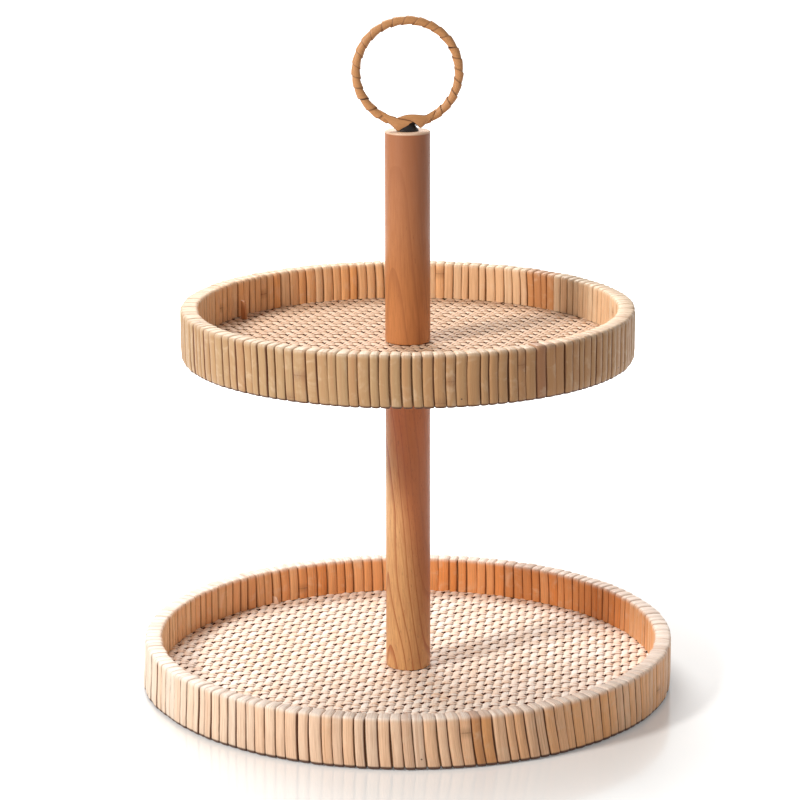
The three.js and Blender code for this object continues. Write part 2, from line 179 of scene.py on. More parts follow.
class HandleSettings(bpy.types.PropertyGroup):
    turns: how_many("Turns", "Turns of peel round the ring", 25, 6)
    peel_width: measure("Peel width", "Width of the wound peel", 10.6)
    peel_thickness: measure("Peel thickness", "Thickness of the wound peel", 0.55)
    peel: tint("Peel", "Flat cane peel", 0.51, 0.23, 0.083)
    steel: tint("Steel", "Blackened steel", 0.012, 0.010, 0.009)


class StudioSettings(bpy.types.PropertyGroup):
    floor_colour: tint("Floor", "Pale glossy floor", 0.84, 0.835, 0.82)
    floor_lift: amount("Floor lift", "White that only the camera sees on the floor", 0.14)
    clear_reach: measure("Clear reach", "Outwards of it the floor is plain white to the camera", 550)
    key_power: amount("Key power", "Power of the lamp on the left", 36.0, "POWER")
    back_power: amount("Back power", "Power of the lamp behind the tray", 48.0, "POWER")
    sky: amount("Sky", "Level of the white room round the tray", 0.34)
    lens_pixels: amount("Lens", "Focal length in widths of a pixel", 3014.0)
    frame_pixels: amount("Frame", "Width of the picture in pixels", 800.0)
    camera_away: measure("Away", "Distance of the camera in front of the posts", 2282.0)
    camera_height: measure("Height", "Height of the camera", 791.7)
    camera_pitch: slant("Pitch", "How far the camera looks down", 0.24206)
    camera_roll: slant("Roll", "Roll of the camera", -0.0022)
    camera_yaw: slant("Yaw", "Turn of the camera to the right", -0.0027)


# Modelling helpers


def set_mode(name):
    bpy.ops.object.mode_set(mode=name)


def clear_selection():
    if bpy.context.object and bpy.context.object.mode != "OBJECT":
        set_mode("OBJECT")
    bpy.ops.object.select_all(action="DESELECT")


def make_active(piece):
    clear_selection()
    piece.select_set(True)
    bpy.context.view_layer.objects.active = piece


def into_mesh(piece):
    """Moves the place, turn and size of an object into its mesh."""
    make_active(piece)
    bpy.ops.object.transform_apply(location=True, rotation=True, scale=True)


def begin(add, **sizes):
    """A new primitive from that operator, with its place and turn in its mesh."""
    clear_selection()
    add(**sizes)
    piece = bpy.context.object
    into_mesh(piece)
    return piece


def pick_all():
    bpy.ops.mesh.select_all(action="SELECT")


def edit(piece):
    """Opens a piece for shaping, with all of it selected."""
    make_active(piece)
    set_mode("EDIT")
    pick_all()


MIDDLES = {
    "verts": lambda corner: corner.co,
    "edges": lambda line: (line.verts[0].co + line.verts[1].co) / 2,
    "faces": lambda face: face.calc_center_median(),
}


def pick(piece, test, kind="verts"):
    """Selects, in edit mode, the corners, edges or faces whose middle passes the test."""
    bpy.ops.mesh.select_mode(type={"verts": "VERT", "edges": "EDGE", "faces": "FACE"}[kind])
    bpy.ops.mesh.select_all(action="DESELECT")
    mesh = bmesh.from_edit_mesh(piece.data)
    for part in getattr(mesh, kind):
        part.select = test(MIDDLES[kind](part))
    mesh.select_flush_mode()
    bmesh.update_edit_mesh(piece.data)


def move(x, y, z):
    bpy.ops.transform.translate(value=(x, y, z))


def resize(x, y, z, centre=(0, 0, 0)):
    bpy.ops.transform.resize(value=(x, y, z), center_override=centre)


def extrude(x, y, z):
    bpy.ops.mesh.extrude_region_move(TRANSFORM_OT_translate={"value": (x, y, z)})


def round_edges(offset, segments):
    bpy.ops.mesh.bevel(offset=offset, segments=segments, affect="EDGES")


def tidy_mesh(piece, smooth_degrees=50):
    """Merges doubles, turns the faces outwards and smooths all but the sharp edges."""
    edit(piece)
    bpy.ops.mesh.remove_doubles(threshold=1e-6)
    bpy.ops.mesh.normals_make_consistent(inside=False)
    set_mode("OBJECT")
    bpy.ops.object.shade_smooth_by_angle(angle=math.radians(smooth_degrees))


def put_finish(piece, finish):
    piece.data.materials.clear()
    piece.data.materials.append(finish)


def settle(piece, name, slot, finish, *nodes):
    """Names a finished piece, gives it its finish and joins it to the frame."""
    piece.name = name
    piece.data.name = name
    put_finish(piece, finish)
    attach(piece, "root")
    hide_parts(*nodes)


# Shader helpers


class Wire:
    """A value in a shader, so that sums with it are written as sums."""

    def __init__(self, socket):
        self.socket = socket

    def __add__(self, other):
        return calc("ADD", self, other)

    def __sub__(self, other):
        return calc("SUBTRACT", self, other)

    def __rsub__(self, other):
        return calc("SUBTRACT", other, self)

    def __mul__(self, other):
        return calc("MULTIPLY", self, other)

    def __truediv__(self, other):
        return calc("DIVIDE", self, other)

    def __abs__(self):
        return calc("ABSOLUTE", self)


def wires(made):
    return {key: Wire(socket) for place, socket in enumerate(made.outputs) for key in (place, socket.name)}


def plug(made, values):
    """Joins wires to a node's inputs, and writes plain values in them."""
    for key, value in values.items():
        if isinstance(value, Wire):
            made.id_data.links.new(value.socket, made.inputs[key])
        else:
            made.inputs[key].default_value = value if isinstance(value, (int, float)) else tuple(value)


def add_node(tree, kind, values=None, **settings):
    made = tree.nodes.new(kind)
    for key, value in settings.items():
        setattr(made, key, value)
    plug(made, values or {})
    return wires(made)


def beside(values, kind, sockets, **settings):
    """A node in the tree that those values lie in."""
    tree = next(value.socket.id_data for value in values if isinstance(value, Wire))
    return add_node(tree, kind, sockets, **settings)


def calc(operation, *values):
    return beside(values, "ShaderNodeMath", dict(enumerate(values)), operation=operation)[0]


def larger(first, second):
    return calc("MAXIMUM", first, second)


def joined(x=0.0, y=0.0, z=0.0):
    return beside((x, y, z), "ShaderNodeCombineXYZ", {0: x, 1: y, 2: z})[0]


def split(place):
    made = beside((place,), "ShaderNodeSeparateXYZ", {0: place})
    return made[0], made[1], made[2]


def stretched(place, factors):
    return beside((place,), "ShaderNodeVectorMath", {0: place, 1: factors}, operation="MULTIPLY")[0]


def length_of(place):
    return beside((place,), "ShaderNodeVectorMath", {0: place}, operation="LENGTH")["Value"]


def moved(place, location, rotation):
    return beside((place,), "ShaderNodeMapping", {
        "Vector": place, "Location": location, "Rotation": rotation})[0]


def mixed(share, first, second, blend="MIX"):
    return beside((share, first, second), "ShaderNodeMix", {0: share, 6: first, 7: second},
                  data_type="RGBA", blend_type=blend)[2]


def between(value, low, high, to_low=0.0, to_high=1.0, curve="SMOOTHSTEP"):
    """Goes from one value to the other while the given one goes from low to high."""
    return beside((value,), "ShaderNodeMapRange", {
        "Value": value, "From Min": low, "From Max": high, "To Min": to_low, "To Max": to_high},
        interpolation_type=curve)[0]


def noise_value(place, scale, detail=2.0, roughness=0.5, distortion=0.0):
    return beside((place,), "ShaderNodeTexNoise", {
        "Vector": place, "Scale": scale, "Detail": detail, "Roughness": roughness,
        "Distortion": distortion})["Fac"]


def object_place(tree):
    return add_node(tree, "ShaderNodeTexCoord")["Object"]


def place_along(tree):
    """Place on a strip or a peel: across it from 0 to 1, and along it in metres."""
    return add_node(tree, "ShaderNodeUVMap", uv_map="along_strip")["UV"]


def shared_group(name, inputs, outputs, fill):
    """A node group that several finishes use, made when it is first asked for."""
    if name in bpy.data.node_groups:
        return bpy.data.node_groups[name]
    group = bpy.data.node_groups.new(name, "ShaderNodeTree")
    for title, value in inputs.items():
        kind = "NodeSocketVector" if value is None else "NodeSocketFloat"
        socket = group.interface.new_socket(name=title, in_out="INPUT", socket_type=kind)
        if value is not None:
            socket.default_value = value
    for title in outputs:
        group.interface.new_socket(name=title, in_out="OUTPUT", socket_type="NodeSocketFloat")
    given = wires(group.nodes.new("NodeGroupInput"))
    plug(group.nodes.new("NodeGroupOutput"), dict(zip(outputs, fill(given))))
    return group


def shared(tree, group, **values):
    return add_node(tree, "ShaderNodeGroup", values, node_tree=group)


def fibre_group():
    """Long fine fibres and broad blotches along them, both from 0 to 1."""
    def fill(given):
        place = stretched(given["Place"], joined(given["Across"], given["Along"], given["Across"]))
        return noise_value(place, 1.0, 3.0, 0.6), noise_value(place, 0.22, 2.0, 0.5)

    return shared_group("cane_fibres", {"Place": None, "Across": 1400.0, "Along": 40.0},
                        ("Fibres", "Blotches"), fill)


def weave_group():
    """Shade of a skewed plain weave: edges of the rows, and the holes at every second corner."""
    def fill(given):
        along, across, _ = split(given["Place"])
        row = across / given["Row"]
        stake = (along - across * given["Shift"]) / given["Stake"]
        row_wave = calc("SINE", row * math.pi)
        stake_wave = calc("SINE", stake * math.pi)
        corners = row_wave * abs(row_wave) * stake_wave * given["Hand"]
        return (abs(row - calc("ROUND", row)), between(corners, -0.7, 0.7), between(corners, 0.50, 0.76),
                between(corners, -0.66, -0.94))

    return shared_group("weave_shade", {"Place": None, "Row": 0.0096, "Stake": 0.007, "Shift": 0.3, "Hand": 1.0},
                        ("Row Edge", "Beside", "Holes", "Small Holes"), fill)


def grain_group():
    """Growth rings cut along a post: their lines, short dark pores between them, and a slow figure."""
    def fill(given):
        figure = noise_value(stretched(given["Place"], (22.0, 22.0, 4.5)), 1.0)
        x, y, z = split(given["Place"])
        radial = length_of(joined(x, y)) + (figure - 0.5) * given["Waviness"] + z * 0.055
        wave = calc("FRACT", radial * given["Rings"])
        lines = between(wave, 0.72, 0.97) * between(wave, 0.985, 1.0, 1.0, 0.0)
        specks = noise_value(stretched(given["Place"], (2600.0, 2600.0, 170.0)), 1.0, 1.0, 0.4)
        level = 0.80 - given["Density"] * 0.2
        return lines, between(specks, level, level + 0.05), figure

    return shared_group("wood_grain", {"Place": None, "Rings": 260.0, "Waviness": 0.012, "Density": 0.5},
                        ("Lines", "Pores", "Figure"), fill)


# Finishes


def new_finish(name):
    finish = bpy.data.materials.new(name)
    finish.use_nodes = True
    return finish, finish.node_tree


def coat(finish, colour, rough, relief, strength, depth, specular=0.4, metallic=0.0):
    """Joins a finish's colour, roughness and relief to its shader."""
    tree = finish.node_tree
    bump = add_node(tree, "ShaderNodeBump", {"Strength": strength, "Distance": depth * MM, "Height": relief})
    plug(tree.nodes["Principled BSDF"], {
        "Base Color": colour, "Roughness": rough, "Specular IOR Level": specular, "Metallic": metallic,
        "Normal": bump["Normal"]})
    return finish


# Cane: nominal width of a strip, share of strips with a nail, and colours laid over its own

CANE_WIDTH = 8.0 * MM
NAILED_SHARE = 0.07
CANE_STREAK = (0.40, 0.18, 0.07, 1)
CANE_BLEACH = (0.86, 0.68, 0.49, 1)
CANE_SMUDGE = (0.46, 0.21, 0.09, 1)
CANE_KNOT = (0.22, 0.085, 0.035, 1)
CANE_NAIL = (0.07, 0.03, 0.015, 1)
# Painted shade at the foot of each strip, where it meets the floor
CANE_FOOT_SHADE = (0.10, 0.04, 0.02, 1)

# Painted highlight on the top of each rim, its share, and where the painted shade under the foot ends, from the
# turned edge up

TOP_HIGHLIGHT_AND_FOOT_SHADE = {
    LOWER: ((1.0, 0.93, 0.85, 1), 0.8, 0.4 * MM),
    UPPER: ((0.92, 0.78, 0.61, 1), 0.55, -0.6 * MM),
}


def cane_finish(settings, tray):
    """Half-round cane: fibres along each strip, its own tone, a node here and there, dust and painted shade in the
    grooves, a painted highlight on the top and painted shade at the foot.
    """
    finish, tree = new_finish(f"{tray}_cane")
    across, along, _ = split(place_along(tree))
    own = add_node(tree, "ShaderNodeAttribute", attribute_name="strip_look")
    looks = add_node(tree, "ShaderNodeSeparateColor", {0: own["Color"]})
    tone, knot, stain, chance = looks[0], looks[1], looks[2], own["Alpha"]
    place = joined(across * CANE_WIDTH, along, chance * 3.0)
    fibres = shared(tree, fibre_group(), Place=place, Across=2300.0, Along=45.0)
    threads = fibres["Fibres"]
    lengths = strip_lengths(settings, TRAY_RADIUS[tray])
    straw, tan, inner_straw, inner_tan = (
        getattr(settings, f"{tray}_{tone_name}") for tone_name in ("straw", "tan", "inner_straw", "inner_tan"))
    # Painted light in part: the inner walls take their own tints, lighter on the upper tray for the light bounced
    # inside it
    inside = between(along, lengths["top"], lengths["inner_wall"])
    sides = mixed(inside, mixed(tone, straw, tan), mixed(tone, inner_straw, inner_tan))
    top = between(along, lengths["outer_wall"] - 2.0 * MM, lengths["top"]) * between(
        along, lengths["inner_corner"], lengths["inner_wall"] + 2.0 * MM, 1.0, 0.0)
    # Painted highlight: the top of each rim is mixed towards a pale colour, by the share given for each tray
    top_highlight, highlight_share, foot_rise = TOP_HIGHLIGHT_AND_FOOT_SHADE[tray]
    stained = mixed(stain, mixed(top * highlight_share, sides, top_highlight), settings.russet)
    streaked = mixed(between(threads, 0.36, 0.70, 0.0, 0.38), stained, CANE_STREAK)
    cloud = noise_value(place, 70.0, 3.0, 0.65, 0.6)
    bleached = mixed(between(cloud, 0.50, 0.76, 0.0, 0.28), streaked, CANE_BLEACH)
    smudged = mixed(between(fibres["Blotches"], 0.52, 0.72, 0.0, 0.34), bleached, CANE_SMUDGE)

    from_knot = abs(along - knot * 0.2)
    ring = between(from_knot + threads * (2.4 * MM), 0.9 * MM, 2.4 * MM, 0.75, 0.0)
    halo = between(from_knot, 1.0 * MM, 6.0 * MM, 0.32, 0.0)
    knotted = mixed(larger(ring, halo), smudged, CANE_KNOT)
    nail_across = between(chance, 0.0, NAILED_SHARE, 0.3, 0.7)
    nail_along = between(
        chance, 0.0, NAILED_SHARE, lengths["outer_foot"] + 1.5 * MM, lengths["outer_foot"] + 7.0 * MM)
    from_nail = length_of(joined((across - nail_across) * CANE_WIDTH, along - nail_along))
    pricked = between(from_nail, 0.4 * MM, 0.9 * MM, 0.9, 0.0) * calc("LESS_THAN", chance, NAILED_SHARE)
    nailed = mixed(pricked, knotted, CANE_NAIL)

    # Dust and painted shade in the grooves: darker along both long edges of each strip, a painted shadow of an open
    # gap along the right edge of some strips, and less of both on the top
    reach = between(noise_value(place, 60.0), 0.3, 0.7, 0.39, 0.46)
    faint = between(abs(across - 0.5), reach, 0.495) * between(inside, 0.0, 1.0, 0.76, 0.54)
    open_gap_shade = between(across, 0.85, 0.96) * between(chance, 0.60, 0.75) * between(inside, 0.0, 1.0, 1.0, 0.5)
    groove_dust_and_shade = larger(faint, open_gap_shade) * (1.0 - top * 0.92)
    grooved = mixed(groove_dust_and_shade, nailed, settings.groove)
    # Painted shade: each strip goes dark up to just above its turned lower edge, where it meets the floor
    shade_top = lengths["outer_foot"] + foot_rise
    foot_shaded = mixed(between(along, shade_top - 1.6 * MM, shade_top, 0.97, 0.0), grooved, CANE_FOOT_SHADE)
    return coat(finish, foot_shaded, between(threads, 0.3, 0.7, 0.40, 0.58), threads - ring * 0.8, 0.35, 0.25)


# Rattan: colours laid over the strands' own, among them a warm painted shade near the big holes and a painted shade
# along the edges, and for rows and stakes where their painted edge shade starts and ends, its share, the share of
# the painted shade in the seam between a row's two strands, and the share of the tint

RATTAN_TINT = (0.92, 0.76, 0.64, 1)
RATTAN_STREAK = (0.42, 0.20, 0.09, 1)
RATTAN_WARM_SHADE = (0.72, 0.42, 0.26, 1)
RATTAN_CREASE_SHADE = (0.44, 0.19, 0.085, 1)
ROW_SHADES = (0.38, 0.46, 0.80, 0.55, 0.25)
STAKE_SHADES = (0.34, 0.50, 0.10, 0.0, 0.0)


def strand_finish(name, settings, tray, turn, row_turn, pitch, phase, shades):
    """Peeled rattan strands: each its own tone, fine fibres along it, painted shade at the row edges, a warm
    painted shade near the big holes, and dust and painted shade in the holes and low down.
    """
    finish, tree = new_finish(name)
    edge_start, edge_end, edge_share, seam_share, tint_share = shades
    place = object_place(tree)
    along, across, _ = split(moved(place, (0, 0, 0), (0, 0, -turn)))
    strand = calc("FLOOR", across / pitch + phase)
    dice = add_node(tree, "ShaderNodeTexWhiteNoise", {"W": strand}, noise_dimensions="1D")["Value"]
    laid = joined(across, along, dice)
    threads = shared(tree, fibre_group(), Place=laid, Across=2400.0, Along=55.0)["Fibres"]
    tone = dice * 0.5 + between(noise_value(laid, 34.0), 0.35, 0.7, 0.0, 0.5)
    base = mixed(tone, getattr(settings, f"{tray}_pale"), getattr(settings, f"{tray}_deep"))
    tinted = mixed(tint_share, base, mixed(1.0, base, RATTAN_TINT, "MULTIPLY"))
    streaked = mixed(between(threads, 0.5, 0.72, 0.0, 0.35), tinted, RATTAN_STREAK)

    hand = 1.0 if tray == LOWER else -1.0
    weave = shared(
        tree, weave_group(), Place=moved(place, (0, 0, 0), (0, 0, -row_turn)), Row=settings.row_pitch,
        Stake=settings.stake_pitch, Shift=hand * math.tan(settings.skew), Hand=hand)
    # Painted shade along the edges of the rows and in the seam between a row's two strands, and a warm painted
    # shade towards the big holes
    outer = between(weave["Row Edge"], edge_start, edge_end, 0.0, edge_share)
    faded = outer * between(weave["Beside"], 0.0, 1.0, 0.5, 1.0)
    edge = larger(faded, between(weave["Row Edge"], 0.02, 0.09, seam_share, 0.0))
    warm_shaded = mixed(between(weave["Beside"], 0.6, 1.0, 0.0, 0.32), streaked, RATTAN_WARM_SHADE)
    crease_shaded = mixed(edge, warm_shaded, RATTAN_CREASE_SHADE)
    # Dust and painted shade in the small and the big holes, and low down between the strands
    pitted = mixed(weave["Small Holes"] * 0.3, crease_shaded, settings.depths)
    deepest = weave["Holes"] * between(noise_value(place, 75.0, 1.0), 0.3, 0.5, 0.6, 1.0)
    holed = mixed(deepest, pitted, settings.depths)
    board = TRAY_BASE[tray] + BOARD_TOP
    depth = between(split(place)[2], board + 0.4 * MM, board + 1.1 * MM, 0.97, 0.0)
    shaded = mixed(depth, holed, settings.depths)
    rough = larger(between(threads, 0.3, 0.7, 0.32, 0.5), larger(deepest, depth))
    return coat(finish, shaded, rough, threads, 0.3, 0.2, specular=0.14)


WOOD_PORE = (0.13, 0.05, 0.02, 1)
WOOD_END = (0.84, 0.60, 0.42, 1)


def wood_finish(name, light, dark, centre, tilt, rings, waviness, pores, lines, rough=0.42, heart_and_shadow=None, end=None):
    """Wood cut along its growth rings, if asked with heartwood past a slanting line, which on the lower post also
    paints the shadow under the upper tray, and a pale end.
    """
    finish, tree = new_finish(name)
    place = object_place(tree)
    in_log = moved(place, centre, [math.radians(degrees) for degrees in tilt])
    grain = shared(tree, grain_group(), Place=in_log, Rings=rings, Waviness=waviness, Density=pores)
    fine = noise_value(stretched(in_log, (1.0, 1.0, 0.06)), 900.0, 3.0, 0.6)
    x, _, z = split(place)
    sap = light
    # Heartwood past a slanting line; on the lower post it also stands for painted shadow
    if heart_and_shadow:
        colour, height, slope, soft = heart_and_shadow
        sap = mixed(between(z + x * slope, height - soft, height + soft), light, colour)
    body = mixed(between(fine, 0.3, 0.75, 0.0, 0.45), sap, dark)
    lined = mixed(grain["Lines"] * lines, body, dark)
    figure = [0.72 * deep + 0.28 * pale for deep, pale in zip(dark, light)]
    figured = mixed(between(grain["Figure"], 0.35, 0.7, 0.0, 0.35), lined, figure)
    pored = mixed(grain["Pores"] * 0.6, figured, WOOD_PORE)
    if end:
        pored = mixed(between(z, end - 1.6 * MM, end - 0.7 * MM, 0.0, 0.75), pored, WOOD_END)
    return coat(finish, pored, between(fine, 0.3, 0.7, rough - 0.06, rough + 0.08),
                fine - grain["Pores"] * 1.5, 0.12, 0.2)


def metal_finish(name, colour, rough, metallic=1.0, spots=(0.05, 0.03, 0.02, 1)):
    finish, tree = new_finish(name)
    cloud = noise_value(object_place(tree), 420.0, 4.0, 0.6)
    wear_and_edge_shade = mixed(between(cloud, 0.45, 0.8, 0.0, 0.5), colour, spots)
    return coat(finish, wear_and_edge_shade, between(cloud, 0.3, 0.7, rough - 0.07, rough + 0.1), cloud, 0.2, 0.1, 0.5, metallic)


PEEL_STREAK = (0.40, 0.19, 0.075, 1)
PEEL_PATCH = (0.60, 0.32, 0.14, 1)
# Painted shade along the peel's edges and in its painted gaps
PEEL_EDGE_SHADE = (0.15, 0.06, 0.025, 1)
PEEL_GAP_SHADE = (0.03, 0.012, 0.006, 1)


def peel_finish(settings):
    """Flat cane peel: fibres along it, paler patches, painted shade along its edges and a few painted gaps, dark
    with shade, between turns.
    """
    finish, tree = new_finish("cane_peel")
    laid = place_along(tree)
    across, along, _ = split(laid)
    threads = shared(
        tree, fibre_group(), Place=joined(across * (9.0 * MM), along), Across=2600.0, Along=60.0)["Fibres"]
    base = mixed(between(threads, 0.38, 0.72, 0.0, 0.5), settings.peel, PEEL_STREAK)
    patched = mixed(between(noise_value(laid, 46.0), 0.4, 0.7, 0.0, 0.4), base, PEEL_PATCH)
    # Painted shade along both edges of the peel, and a painted shadow of an open gap along one edge of a few turns
    wear_and_edge_shade = mixed(between(abs(across - 0.5), 0.40, 0.5, 0.0, 0.85), patched, PEEL_EDGE_SHADE)
    turn = noise_value(joined(0.0, along), 47.0, 0.0)
    gap = between(across, 0.05, 0.16, 0.95, 0.0) * between(turn, 0.5, 0.56)
    return coat(finish, mixed(gap, wear_and_edge_shade, PEEL_GAP_SHADE), 0.5, threads, 0.3, 0.2)


# Rim strips

# Cross section of a strip: sixths of its width from the middle, and share of the fall there

STRIP_DOME = ((1, 0.05), (2, 0.26), (3, 1.0))
SIXTHS = 6
SHOULDER_WIDENING = 1.22
OUTER_STEPS = 5
INNER_STEPS = 4
TOP_CROWN = 0.25 * MM


def strip_blank(settings, radius):
    """One strip, bent from under the hoop, up the outside, over the top and down to the weave."""
    thick, bend, turn = settings.strip_thickness, settings.foot_rounding, settings.top_rounding
    shoulder = RIM_HEIGHT - turn
    start = radius - thick - settings.foot_tuck
    wide = strip_width(settings, radius)
    near = wide / 50

    def bend_round(x, z):
        bpy.ops.mesh.spin(steps=3, angle=math.pi / 2, center=(x, 0, z), axis=(0, 1, 0))

    strip = begin(
        bpy.ops.mesh.primitive_plane_add, size=1, location=(start, 0, thick / 2), rotation=(0, math.pi / 2, 0))
    edit(strip)
    resize(1, wide, thick, (start, 0, thick / 2))
    pick(strip, lambda middle: middle.z < 1e-6, "edges")
    bpy.ops.mesh.subdivide(number_cuts=SIXTHS - 1)
    for out, fall in STRIP_DOME:
        pick(strip, lambda place: place.z < 1e-6 and abs(abs(place.y) - out * wide / SIXTHS) < near)
        move(0, 0, fall * settings.strip_fall)
    pick(strip, lambda place: abs(abs(place.y) - wide / 3) < near)
    resize(1, SHOULDER_WIDENING, 1, (start, 0, 0))
    pick_all()
    extrude(radius - thick - bend - start, 0, 0)
    bend_round(radius - thick - bend, thick + bend)
    for _ in range(OUTER_STEPS):
        extrude(0, 0, (shoulder - thick - bend) / OUTER_STEPS)
    bend_round(radius - turn, shoulder)
    across = (settings.rim_thickness - 2 * turn) / 2
    extrude(-across, 0, TOP_CROWN)
    extrude(-across, 0, -TOP_CROWN)
    bend_round(radius - settings.rim_thickness + turn, shoulder)
    for _ in range(INNER_STEPS):
        extrude(0, 0, (BOARD_TOP + settings.strip_stop - shoulder) / INNER_STEPS)
    tidy_mesh(strip, 75)
    laid = strip.data.uv_layers.new(name="along_strip")
    for loop in strip.data.loops:
        place = strip.data.vertices[loop.vertex_index].co
        laid.data[loop.index].uv = (place.y / wide + 0.5, length_along(settings, radius, start, place))
    return strip


def strip_width(settings, radius):
    count = settings.lower_strips if radius == TRAY_RADIUS[LOWER] else settings.upper_strips
    return 2 * math.pi * radius / count


def strip_lengths(settings, radius):
    """Distances along a strip from its end under the hoop to each place where it turns."""
    bend = settings.foot_rounding + settings.strip_thickness
    turn = settings.top_rounding
    outer_foot = settings.foot_tuck - settings.foot_rounding + bend * math.pi / 2
    outer_wall = outer_foot + RIM_HEIGHT - turn - bend
    top = outer_wall + turn * math.pi / 2
    inner_corner = top + settings.rim_thickness - 2 * turn
    inner_wall = inner_corner + turn * math.pi / 2
    return {"outer_foot": outer_foot, "outer_wall": outer_wall, "top": top,
            "inner_corner": inner_corner, "inner_wall": inner_wall}


def length_along(settings, radius, start, place):
    """Distance along a strip from its end under the hoop to a point on it."""
    bend = settings.foot_rounding + settings.strip_thickness
    turn = settings.top_rounding
    lengths = strip_lengths(settings, radius)
    shoulder = RIM_HEIGHT - turn
    corner = radius - bend
    outer, inner = radius - turn, radius - settings.rim_thickness + turn
    if place.z > shoulder:
        if place.x > outer:
            return lengths["outer_wall"] + turn * math.atan2(place.z - shoulder, place.x - outer)
        if place.x > inner:
            return lengths["top"] + outer - place.x
        return lengths["inner_corner"] + turn * math.atan2(inner - place.x, place.z - shoulder)
    if place.x < radius - settings.rim_thickness / 2 and place.z > bend:
        return lengths["inner_wall"] + shoulder - place.z
    if place.z > bend:
        return lengths["outer_foot"] + place.z - bend
    if place.x > corner:
        return corner - start + bend * math.atan2(place.x - corner, bend - place.z)
    return place.x - start


def swell(angle, seed, pace):
    """A slow random value round a tray, from about -1 to 1."""
    return 2 * noise.noise(Vector((math.cos(angle) * pace, math.sin(angle) * pace, seed)))


def by_angle(table, angle):
    """Reads a table of degrees and values, with straight lines between its rows."""
    degrees = math.degrees(angle)
    for (first, low), (last, high) in zip(table, table[1:]):
        if first <= degrees <= last:
            return low + (high - low) * (degrees - first) / (last - first)
    return table[-1][1]


# Round each tray: how far the foot of the strips leans to the right of their shoulder, in mm

LEAN_ROUND = {
    LOWER: ((-180, -1.0), (-158, -3.0), (-148, -3.5), (-138, -2.6), (-133, -1.0), (-120, 0.0), (-110, 1.0),
            (-101, 2.0), (-90, 3.2), (-80, 4.8), (-70, 6.5), (-62, 7.4), (-56, 7.0), (-46, 5.8), (-36, 5.6),
            (-31, 5.0), (-27, 2.4), (-10, 0.6), (10, 0.0), (180, -1.0)),
    UPPER: ((-180, 0.0), (-157, 2.0), (-144, 2.8), (-133, 2.2), (-126, 1.4), (-110, 1.8), (-98, 2.0),
            (-84, 1.0), (-60, 1.3), (-45, 0.8), (-30, 0.0), (180, 0.0)),
}

# Round each tray: tone of the cane, from 0 for straw to 1 for tan

TONE_ROUND = {
    LOWER: ((-180, 0.0), (-140, 0.12), (-120, 0.34), (-100, 0.48), (-80, 0.58), (-60, 0.70), (-30, 0.85),
            (0, 0.45), (16, 0.45), (32, 1.0), (60, 0.90), (110, 0.78), (145, 0.4), (180, 0.0)),
    UPPER: ((-180, 0.35), (-120, 0.30), (-95, 0.5), (-70, 0.8), (-40, 0.9), (-15, 0.6), (0, 0.2),
            (30, 0.15), (60, 0.35), (110, 0.7), (150, 0.62), (180, 0.2)),
}

# A knot's place is a share of 0.2 m along its strip, and this one lies off every strip

NO_KNOT = 4.0
KNOT_CHANCE = 0.12

# Strips that stand out: tray, first and last degree, tone, stain, knot

MARKED_STRIPS = (
    (UPPER, 44.0, 54.0, 1.0, 0.50, NO_KNOT),
    (UPPER, -57.0, -54.0, 0.9, 0.60, NO_KNOT),
    (UPPER, -63.0, -60.0, 0.9, 0.10, 0.19),
    (UPPER, -80.6, -78.4, 0.7, 0.0, 0.15),
    (UPPER, -82.9, -80.7, 0.75, 0.0, 0.07),
    (UPPER, -117.0, -114.0, 0.3, 0.0, 0.155),
    (LOWER, -78.0, -75.0, 0.95, 0.42, NO_KNOT),
    (LOWER, -74.9, -72.2, 0.95, 0.20, NO_KNOT),
    (LOWER, -131.5, -129.5, 0.5, 0.30, 0.19),
    (LOWER, 56.0, 66.0, 0.95, 0.25, NO_KNOT),
)

# The left feet flare where the cosine from the left passes this, and feet thin out below this height

FLARE_FROM = 0.88
FOOT_HEIGHT = 9.0 * MM


def strip_copy(blank, settings, tray, angle, wide, look, lean, inner_lean, bow, lift):
    """A strip at its angle, with its own width, leans, bow and lift, and its look on its corners."""
    mesh = blank.data.copy()
    radius = TRAY_RADIUS[tray]
    thick = settings.strip_thickness
    half = settings.rim_thickness / 2
    shoulder = RIM_HEIGHT - settings.top_rounding
    stretch = wide / strip_width(settings, radius)
    leftness = max(0.0, math.cos(angle - math.pi) - FLARE_FROM) / (1 - FLARE_FROM)
    flare = settings.left_flare * leftness if tray == LOWER else 0.0
    turn = Matrix.Rotation(angle, 4, "Z")
    for corner in mesh.vertices:
        x, y, z = corner.co
        drop = min(1.0, max(0.0, (shoulder - z) / shoulder))
        inwards = x < radius - half and z > RIM_HEIGHT / 5
        slide = (inner_lean if inwards else lean) * drop + bow * 4 * drop * (1 - drop)
        out = lift[0] * (x - radius + half) / half
        if not inwards:
            low = max(0.0, 1 - z / FOOT_HEIGHT)
            skin = min(1.0, max(0.0, (x - radius + thick) / thick))
            out += flare * drop * drop - settings.foot_fall * low * low * skin
        place = Vector((x + out, y * stretch * x / radius + slide, z + lift[1] * (1 - drop)))
        corner.co = turn @ place + Vector((0, 0, TRAY_BASE[tray]))
    shades = mesh.attributes.new("strip_look", "FLOAT_COLOR", "POINT")
    shades.data.foreach_set("color", list(look) * len(mesh.vertices))
    copy = bpy.data.objects.new("strip", mesh)
    bpy.context.scene.collection.objects.link(copy)
    return copy


